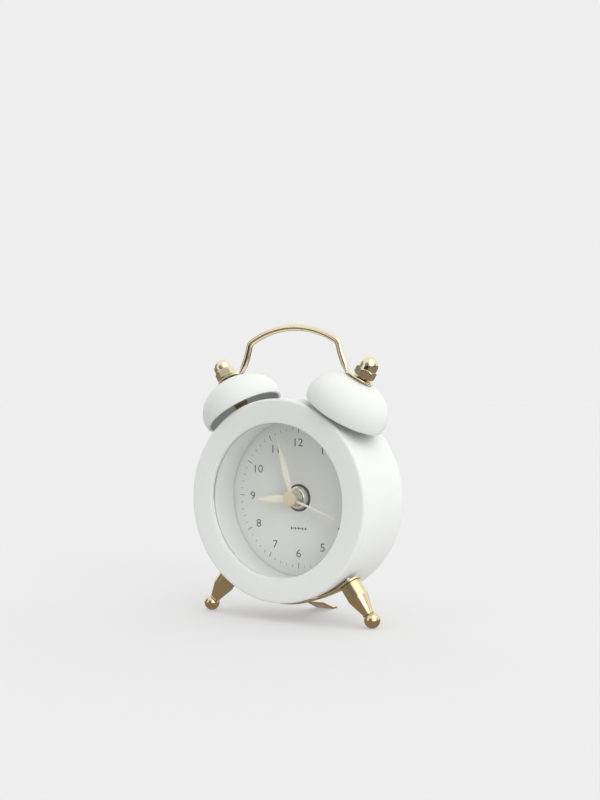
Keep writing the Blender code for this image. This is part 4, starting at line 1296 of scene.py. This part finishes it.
@dataclass
class BackPanel:
    """The moulded back cover with its knobs, battery door, switch and screws."""

    datum: Datum
    radius: float = 22.9
    flange: float = 25.0
    inner: float = 24.4
    outer: float = 25.6
    recess: float = 22.6
    flange_front: float = 23.9
    flange_back: float = 24.7
    dish: float = 0.15
    cut_from: float = 23.0
    cut_to: float = 27.0
    hole: float = 1.0
    sink: float = 1.9
    sink_from: float = 25.0
    battery_hole: float = 6.4
    lug_gate: tuple[float, float] = (14.4, 2.6)
    switch_slot: tuple[float, float] = (5.8, 2.0)
    sound_slot: tuple[float, float] = (6.4, 1.0)
    sound_pitch: float = 2.6
    cut_depth: float = 4.0
    battery: tuple[float, float] = (7.9, -13.0)
    door_radius: float = 6.1
    sound: tuple[float, float] = (-9.2, 10.0)
    switch_z: float = 17.8
    screw_circle: float = 19.6
    screw_angles: tuple[float, float, float] = (20.0, 205.0, 275.0)
    time_setter: tuple[float, float] = (7.2 + 7.2 * math.cos(math.radians(30)), -3.6)
    alarm_setter: tuple[float, float] = (-9.6, 0.0)
    knob_radius: float = 4.0
    knob: tuple[float, float] = (26.0, 29.6)
    knob_bore: float = 0.76
    knob_dish: float = 0.35
    knob_roof: float = 0.7
    door_front: float = 23.75
    lugs: tuple[float, float, float] = (2.0, 0.35, 14.0)
    coin_slot: tuple[float, float, float] = (9.2, 1.2, 24.9)
    slider_depths: tuple[float, float] = (24.2, 24.0)
    stem: tuple[float, float] = (2.3, 1.7)
    rib: tuple[float, float, float] = (0.3, 0.35, 1.5)
    rib_step: float = 0.7
    screw_radii: tuple[float, float, float] = (0.7, 1.6, 1.1)
    screw_depths: tuple[float, float, float, float] = (20.0, 25.3, 25.8, 26.0)
    cross: tuple[float, float, float] = (2.0, 0.38, 0.8)

    def build(self) -> None:
        """Make the cover and everything that shows on it."""
        upright = self.datum.place(spindle=Spindle.UPRIGHT)
        release("rear_cover", self._cover(), upright, BACK_PLASTIC, ["back_cover"])
        for word, body, (x, z) in (("time", "time_setter", self.time_setter),
                                   ("alarm", "alarm_setter", self.alarm_setter)):
            release(f"{word}_knob_knurled", self._knob(), self.datum.place(x, 0, z), BACK_PLASTIC,
                    [f"{word}_set_knob"], body)
        x, z = self.battery
        release("coin_slot_door", self._door(), self.datum.place(x, 0, z, spindle=Spindle.UPRIGHT),
                BACK_PLASTIC, ["battery_door"], "door")
        release("alarm_slider", self._slider(), upright, BLACK_PLASTIC,
                ["alarm_switch"], "switch")
        for number, (x, z) in enumerate(self._screw_places(), start=1):
            release(f"cover_fixing_{number}", self._screw(), self.datum.place(x, 0, z), ZINC_STEEL,
                    [f"cover_screw_{number}"])

    def _screw_places(self) -> list[tuple[float, float]]:
        """Where the cover's screws sit.

        Returns:
            Each screw's x and z.
        """
        return [(self.screw_circle * math.cos(math.radians(angle)),
                 self.screw_circle * math.sin(math.radians(angle))) for angle in self.screw_angles]

    @staticmethod
    def _drill(radius: float, near: float, far: float, x: float, z: float,
               sides: int = 64) -> Shape:
        """A round cutter along the depth, in the panel's upright axes.

        Args:
            radius: Its radius.
            near: Depth at which it starts.
            far: Depth at which it ends.
            x: Sideways place.
            z: Height above the axis.
            sides: Segments round it.

        Returns:
            The cutter's bmesh.
        """
        bm = turned([(0.0, near), (radius, near), (radius, far), (0.0, far)], sides, closed=False)
        return moved(bm, Matrix.Translation((x, 0, z)) @ ALONG_DEPTH)

    def _gap(self, size: tuple[float, float], x: float, depth: float,
             z: float) -> Shape:
        """A square-edged cutter through the cover, centred where it is told."""
        return slab(size[0], self.cut_depth, size[1], (x, depth, z))

    def _cover(self) -> Shape:
        """The cover's disc with a raised rim, its openings and its sunk screw seats.

        Returns:
            The cover's bmesh.
        """
        front, back, floor = self.flange_front, self.flange_back, self.outer - self.dish
        corners = [(0.0, self.inner, 0.0), (self.recess, self.inner, 0.0),
                   (self.recess, front, 0.1), (self.flange, front, 0.1), (self.flange, back, 0.1),
                   (self.radius, back, 0.1), (self.radius, self.outer, 0.35),
                   (self.radius - 1.4, self.outer, 0.1), (self.radius - 1.5, floor, 0.1),
                   (0.0, floor, 0.0)]
        disc = moved(lathe(corners, 160, closed=False, steps=3), ALONG_DEPTH)
        near, far, middle = self.cut_from, self.cut_to, (self.cut_from + self.cut_to) / 2
        x, z = self.battery
        cutters = [self._drill(self.hole, near, far, *self.time_setter, 40),
                   self._drill(self.hole, near, far, *self.alarm_setter, 40),
                   self._drill(self.battery_hole, near, far, x, z, 96),
                   self._gap(self.switch_slot, 0.0, middle, self.switch_z),
                   self._gap(self.lug_gate, x, middle, z)]
        for row in (-1, 0, 1):
            z = self.sound[1] + row * self.sound_pitch
            cutters.append(self._gap(self.sound_slot, self.sound[0], middle, z))
        for x, z in self._screw_places():
            cutters += [self._drill(self.hole, near, far, x, z, 32),
                        self._drill(self.sink, self.sink_from, far, x, z, 48)]
        return carved(disc, cutters)

    def _knob(self) -> Shape:
        """A knurled setting knob with a dished end.

        Returns:
            The knob's bmesh.
        """
        (near, far), rim, bore = self.knob, self.knob_radius, self.knob_bore
        dish, roof = far - self.knob_dish, far - self.knob_roof
        corners = [(bore, near, 0.0), (rim - 0.3, near, 0.0), (rim, near, 0.3), (rim, far, 0.5),
                   (rim - 1.2, far, 0.3), (rim - 1.5, dish, 0.2), (0.0, dish, 0.0),
                   (0.0, roof, 0.0), (bore, roof, 0.0)]
        knob = lathe(corners, 160)
        for vert in knob.verts:
            radius = math.hypot(vert.co.x, vert.co.y)
            if radius > rim - 0.45:
                wave = abs(math.sin(10 * math.atan2(vert.co.y, vert.co.x)))
                scale = 1 - 0.09 * (1 - wave) ** 2
                vert.co.x *= scale
                vert.co.y *= scale
        return tidied(knob)

    def _door(self) -> Shape:
        """The round battery door with its coin slot.

        Returns:
            The door's bmesh.
        """
        front, back, rim = self.door_front, self.outer - 0.05, self.door_radius
        corners = [(0.0, front, 0.0), (rim, front, 0.1), (rim, back, 0.3), (0.0, back, 0.0)]
        disc = moved(lathe(corners, 120, closed=False), ALONG_DEPTH)
        lugs = slab(*self.lugs, (0.0, front + self.lugs[1] / 2, 0.0), 0.1)
        disc = carved(disc, [lugs], "UNION")
        wide, high, floor = self.coin_slot
        return carved(disc, [slab(wide, 3.0, high, (0.0, floor + 1.5, 0.0))])

    def _slider(self) -> Shape:
        """The alarm slider's ridged button and its foot behind the cover.

        Returns:
            The slider's bmesh.
        """
        low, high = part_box("alarm_switch")
        wide, _, high_z = (high - low) / MM
        middle_x = (low.x + high.x) / 2 / MM
        front, back = (low.y - self.datum.face) / MM, (high.y - self.datum.face) / MM
        foot_back, stem_front = self.slider_depths
        stem_wide, stem_high = self.stem
        foot = slab(wide, foot_back - front, high_z,
                    (middle_x, (front + foot_back) / 2, self.switch_z), 0.1)
        stem = slab(stem_wide, back - stem_front, stem_high,
                    (middle_x, (back + stem_front) / 2, self.switch_z), 0.25)
        ribs = [slab(*self.rib, (middle_x + i * self.rib_step, back - 0.12, self.switch_z), 0.1)
                for i in (-1, 0, 1)]
        return merged([foot, stem, *ribs])

    def _screw(self) -> Shape:
        """A pan-head screw with a cross recess.

        Returns:
            The screw's bmesh.
        """
        shank, head, top = self.screw_radii
        tip, under, edge, crown = self.screw_depths
        corners = [(0.0, tip, 0.0), (shank, tip, 0.1), (shank, under, 0.0), (head, under, 0.08),
                   (head, edge, 0.25), (top, crown, 0.2), (0.0, crown, 0.0)]
        screw = lathe(corners, 64, closed=False)
        long, narrow, deep = self.cross
        return carved(screw, [slab(long, narrow, deep, (0.0, 0.0, crown)),
                              slab(narrow, long, deep, (0.0, 0.0, crown))])


# ---- inner works -----------------------------------------------------------------------------


@dataclass
class InnerWorks:
    """The CAD pieces that stay as they are, inside the case, dressed by their slot."""

    record: dict

    def dress(self, nodes: dict[str, bpy.types.Object]) -> None:
        """Give every carried-over node the finish of its record slot.

        Args:
            nodes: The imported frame's nodes by name.
        """
        for entry in self.record["subparts"]:
            node = nodes[entry["node"]]
            if node.hide_render:
                continue
            material = INNER_FINISHES[entry["material_slot"]].material()
            if not node.material_slots:
                node.data.materials.append(material)
            for slot in node.material_slots:
                slot.material = material


# ---- studio ----------------------------------------------------------------------------------


@dataclass(frozen=True)
class Panel:
    """An upright stretch of the surroundings that is brighter or darker than the rest.

    Args:
        bearing: Its middle, in degrees round from straight ahead, positive to the right.
        half: Half its width in degrees.
        soft: Width of its soft edge in degrees.
        gain: What it adds to the light.
    """

    bearing: float
    half: float
    soft: float
    gain: float


@dataclass
class Studio:
    """The floor, the soft surroundings, the key light and the camera."""

    datum: Datum
    backdrop: float = 0.855
    floor_colour: float = 0.45
    floor_half: float = 20.0
    floor_front: float = 0.168
    floor_glow: float = 0.32
    # Glow and tint that glossy rays see in place of the floor: a painted reflection.
    painted_reflection_glow: float = 0.30
    painted_reflection_tint: tuple[float, float, float, float] = (1.0, 0.82, 0.66, 1.0)
    panels: tuple[Panel, ...] = (Panel(0.0, 20.0, 8.0, -0.86), Panel(104.0, 11.0, 6.0, -0.88),
                                 Panel(-72.0, 16.0, 8.0, -0.85), Panel(58.0, 12.0, 6.0, 1.4))
    panel_fade: tuple[float, float] = (0.75, 0.35)
    under_fade: tuple[float, float] = (0.02, -0.10)
    under_shade: float = 0.88
    level: float = 1.09
    azimuth: float = math.radians(32.16)
    elevation: float = math.radians(0.18)
    camera_at: tuple[float, float, float] = (191.825, -291.055, 30.458)
    lens: float = 54.0
    key_strength: float = 0.75
    key_azimuth: float = math.radians(82.0)
    key_elevation: float = math.radians(38.0)
    key_size: float = math.radians(75.0)

    def build(self) -> None:
        """Set up everything round the clock."""
        bpy.context.scene.view_settings.view_transform = "Standard"
        self._floor()
        self._surroundings()
        self._key()
        self._camera()

    @staticmethod
    def _blend(tree: bpy.types.NodeTree, share: bpy.types.NodeSocket, first: bpy.types.NodeSocket,
               second: bpy.types.NodeSocket, output: bpy.types.Node) -> None:
        """Show one shader or another, by what kind of ray asks.

        Args:
            tree: The node tree.
            share: 0 for the first shader, 1 for the second.
            first: The first shader.
            second: The second shader.
            output: The tree's output node.
        """
        mix = added_node(tree, "MixShader")
        for source, socket in zip((share, first, second), mix.inputs):
            tree.links.new(source, socket)
        tree.links.new(mix.outputs["Shader"], output.inputs["Surface"])

    def _floor(self) -> None:
        """A wide pale floor that meets the backdrop without a line. Rays reflected off shiny parts
        see a dim warm glow in its place: a painted reflection that darkens the metal where it faces
        the floor.
        """
        bm = bmesh.new()
        bmesh.ops.create_grid(bm, x_segments=1, y_segments=1, size=self.floor_half)
        ahead = self._heading(self.azimuth, 0.0)
        bmesh.ops.bisect_plane(bm, geom=bm.verts[:] + bm.edges[:] + bm.faces[:],
                               plane_co=ahead * self.floor_front, plane_no=ahead, clear_outer=True)
        material = bpy.data.materials.new("pale_floor")
        material.use_nodes = True
        tree = material.node_tree
        shader = tree.nodes["Principled BSDF"]
        dial_in(shader, {"Base Color": (self.floor_colour,) * 3 + (1.0,), "Roughness": 0.9,
                         "Specular IOR Level": 0.0, "Emission Color": WHITE,
                         "Emission Strength": self.floor_glow})
        # Painted reflection: glossy rays see this dim warm glow instead of the pale floor.
        painted_reflection = added_node(tree, "Emission", {"Color": self.painted_reflection_tint,
                                            "Strength": self.painted_reflection_glow})
        mirrored = added_node(tree, "LightPath").outputs["Is Glossy Ray"]
        self._blend(tree, mirrored, shader.outputs["BSDF"], painted_reflection.outputs["Emission"],
                    tree.nodes["Material Output"])
        mesh = meshed("pale_floor", bm)
        mesh.materials.append(material)
        floor = linked("pale_floor", mesh)

    def _surroundings(self) -> None:
        """Soft light all round with darker and brighter stretches, and a plain backdrop."""
        world = bpy.data.worlds.new("studio_surroundings")
        world.use_nodes = True
        bpy.context.scene.world = world
        tree = world.node_tree
        tree.nodes.clear()
        place, split = added_node(tree, "TexCoord"), added_node(tree, "SeparateXYZ")
        tree.links.new(place.outputs["Generated"], split.inputs["Vector"])

        def maths(operation: str, a: object, b: object = 0.0) -> bpy.types.NodeSocket:
            """Output of one maths node fed by sockets or plain numbers.

            Args:
                operation: The node's operation.
                a: First input.
                b: Second input.

            Returns:
                The node's output.
            """
            node = added_node(tree, "Math")
            node.operation = operation
            for socket, value in zip(node.inputs, (a, b)):
                if isinstance(value, bpy.types.NodeSocket):
                    tree.links.new(value, socket)
                else:
                    socket.default_value = value
            return node.outputs["Value"]

        forward = maths("MULTIPLY", split.outputs["Y"], -1.0)
        bearing = maths("ARCTAN2", split.outputs["X"], forward)

        def ramp(value: bpy.types.NodeSocket, start: float, full: float) -> bpy.types.NodeSocket:
            """Smooth step from 0 at one value to 1 at another.

            Args:
                value: What is compared.
                start: Value that gives 0.
                full: Value that gives 1.

            Returns:
                The node's output.
            """
            node = added_node(tree, "MapRange", {"From Min": start, "From Max": full})
            node.interpolation_type = "SMOOTHSTEP"
            tree.links.new(value, node.inputs["Value"])
            return node.outputs["Result"]

        total = 0.0
        for panel in self.panels:
            off = maths("ABSOLUTE", maths("SUBTRACT", bearing, math.radians(panel.bearing)))
            inside = ramp(off, math.radians(panel.half + panel.soft), math.radians(panel.half))
            total = maths("ADD", maths("MULTIPLY", inside, panel.gain), total)
        upright = ramp(split.outputs["Z"], *self.panel_fade)
        under = ramp(split.outputs["Z"], *self.under_fade)
        open_light = maths("ADD", maths("MULTIPLY", total, upright), self.level)
        shade = maths("SUBTRACT", 1.0, maths("MULTIPLY", under, self.under_shade))
        light = maths("MULTIPLY", open_light, shade)
        glow = added_node(tree, "Background", {"Color": WHITE})
        tree.links.new(light, glow.inputs["Strength"])
        plain = added_node(tree, "Background", {"Color": (self.backdrop,) * 3 + (1.0,)})
        seen = added_node(tree, "LightPath").outputs["Is Camera Ray"]
        self._blend(tree, seen, glow.outputs["Background"], plain.outputs["Background"],
                    added_node(tree, "OutputWorld"))

    @staticmethod
    def _heading(azimuth: float, elevation: float) -> Vector:
        """Unit vector from the clock outwards.

        Args:
            azimuth: Angle round to the right from straight ahead, in radians.
            elevation: Angle up from the level, in radians.

        Returns:
            The vector.
        """
        level = math.cos(elevation)
        return Vector((math.sin(azimuth) * level, -math.cos(azimuth) * level, math.sin(elevation)))

    def _key(self) -> None:
        """One broad soft light from the right and above."""
        lamp = bpy.data.lights.new("key_light", "SUN")
        lamp.energy = self.key_strength
        lamp.angle = self.key_size
        holder = linked("key_light", lamp)
        towards = self._heading(self.key_azimuth, self.key_elevation)
        holder.rotation_mode = "QUATERNION"
        holder.rotation_quaternion = towards.to_track_quat("Z", "Y")

    def _camera(self) -> None:
        """A camera at the clock's right front, a little above its middle."""
        data = bpy.data.cameras.new("camera")
        data.lens = self.lens
        data.clip_start, data.clip_end = 0.01, 100.0
        camera = linked("camera", data)
        back = self._heading(self.azimuth, self.elevation)
        right = Vector((math.cos(self.azimuth), math.sin(self.azimuth), 0.0))
        up = back.cross(right)
        turn = Matrix((right, up, back)).transposed().to_4x4()
        camera.matrix_world = Matrix.Translation(self.datum.point(*self.camera_at)) @ turn
        bpy.context.scene.camera = camera


def main() -> None:
    """Build the clock's visible pieces in order and note the sizes."""
    logging.basicConfig(level=logging.INFO, format="%(name)s %(message)s")
    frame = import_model()
    datum = Datum.from_frame()
    bells = BellPair(datum)
    CaseAndBezel(datum).build()
    DialAndMarks(datum).build()
    HandStack(datum).build()
    bells.build()
    CarryHandle(datum, bells).build()
    LegsAndStrap(datum).build()
    BackPanel(datum).build()
    InnerWorks(frame["record"]).dress(frame["nodes"])
    Studio(datum).build()


if __name__ == "__main__":
    main()
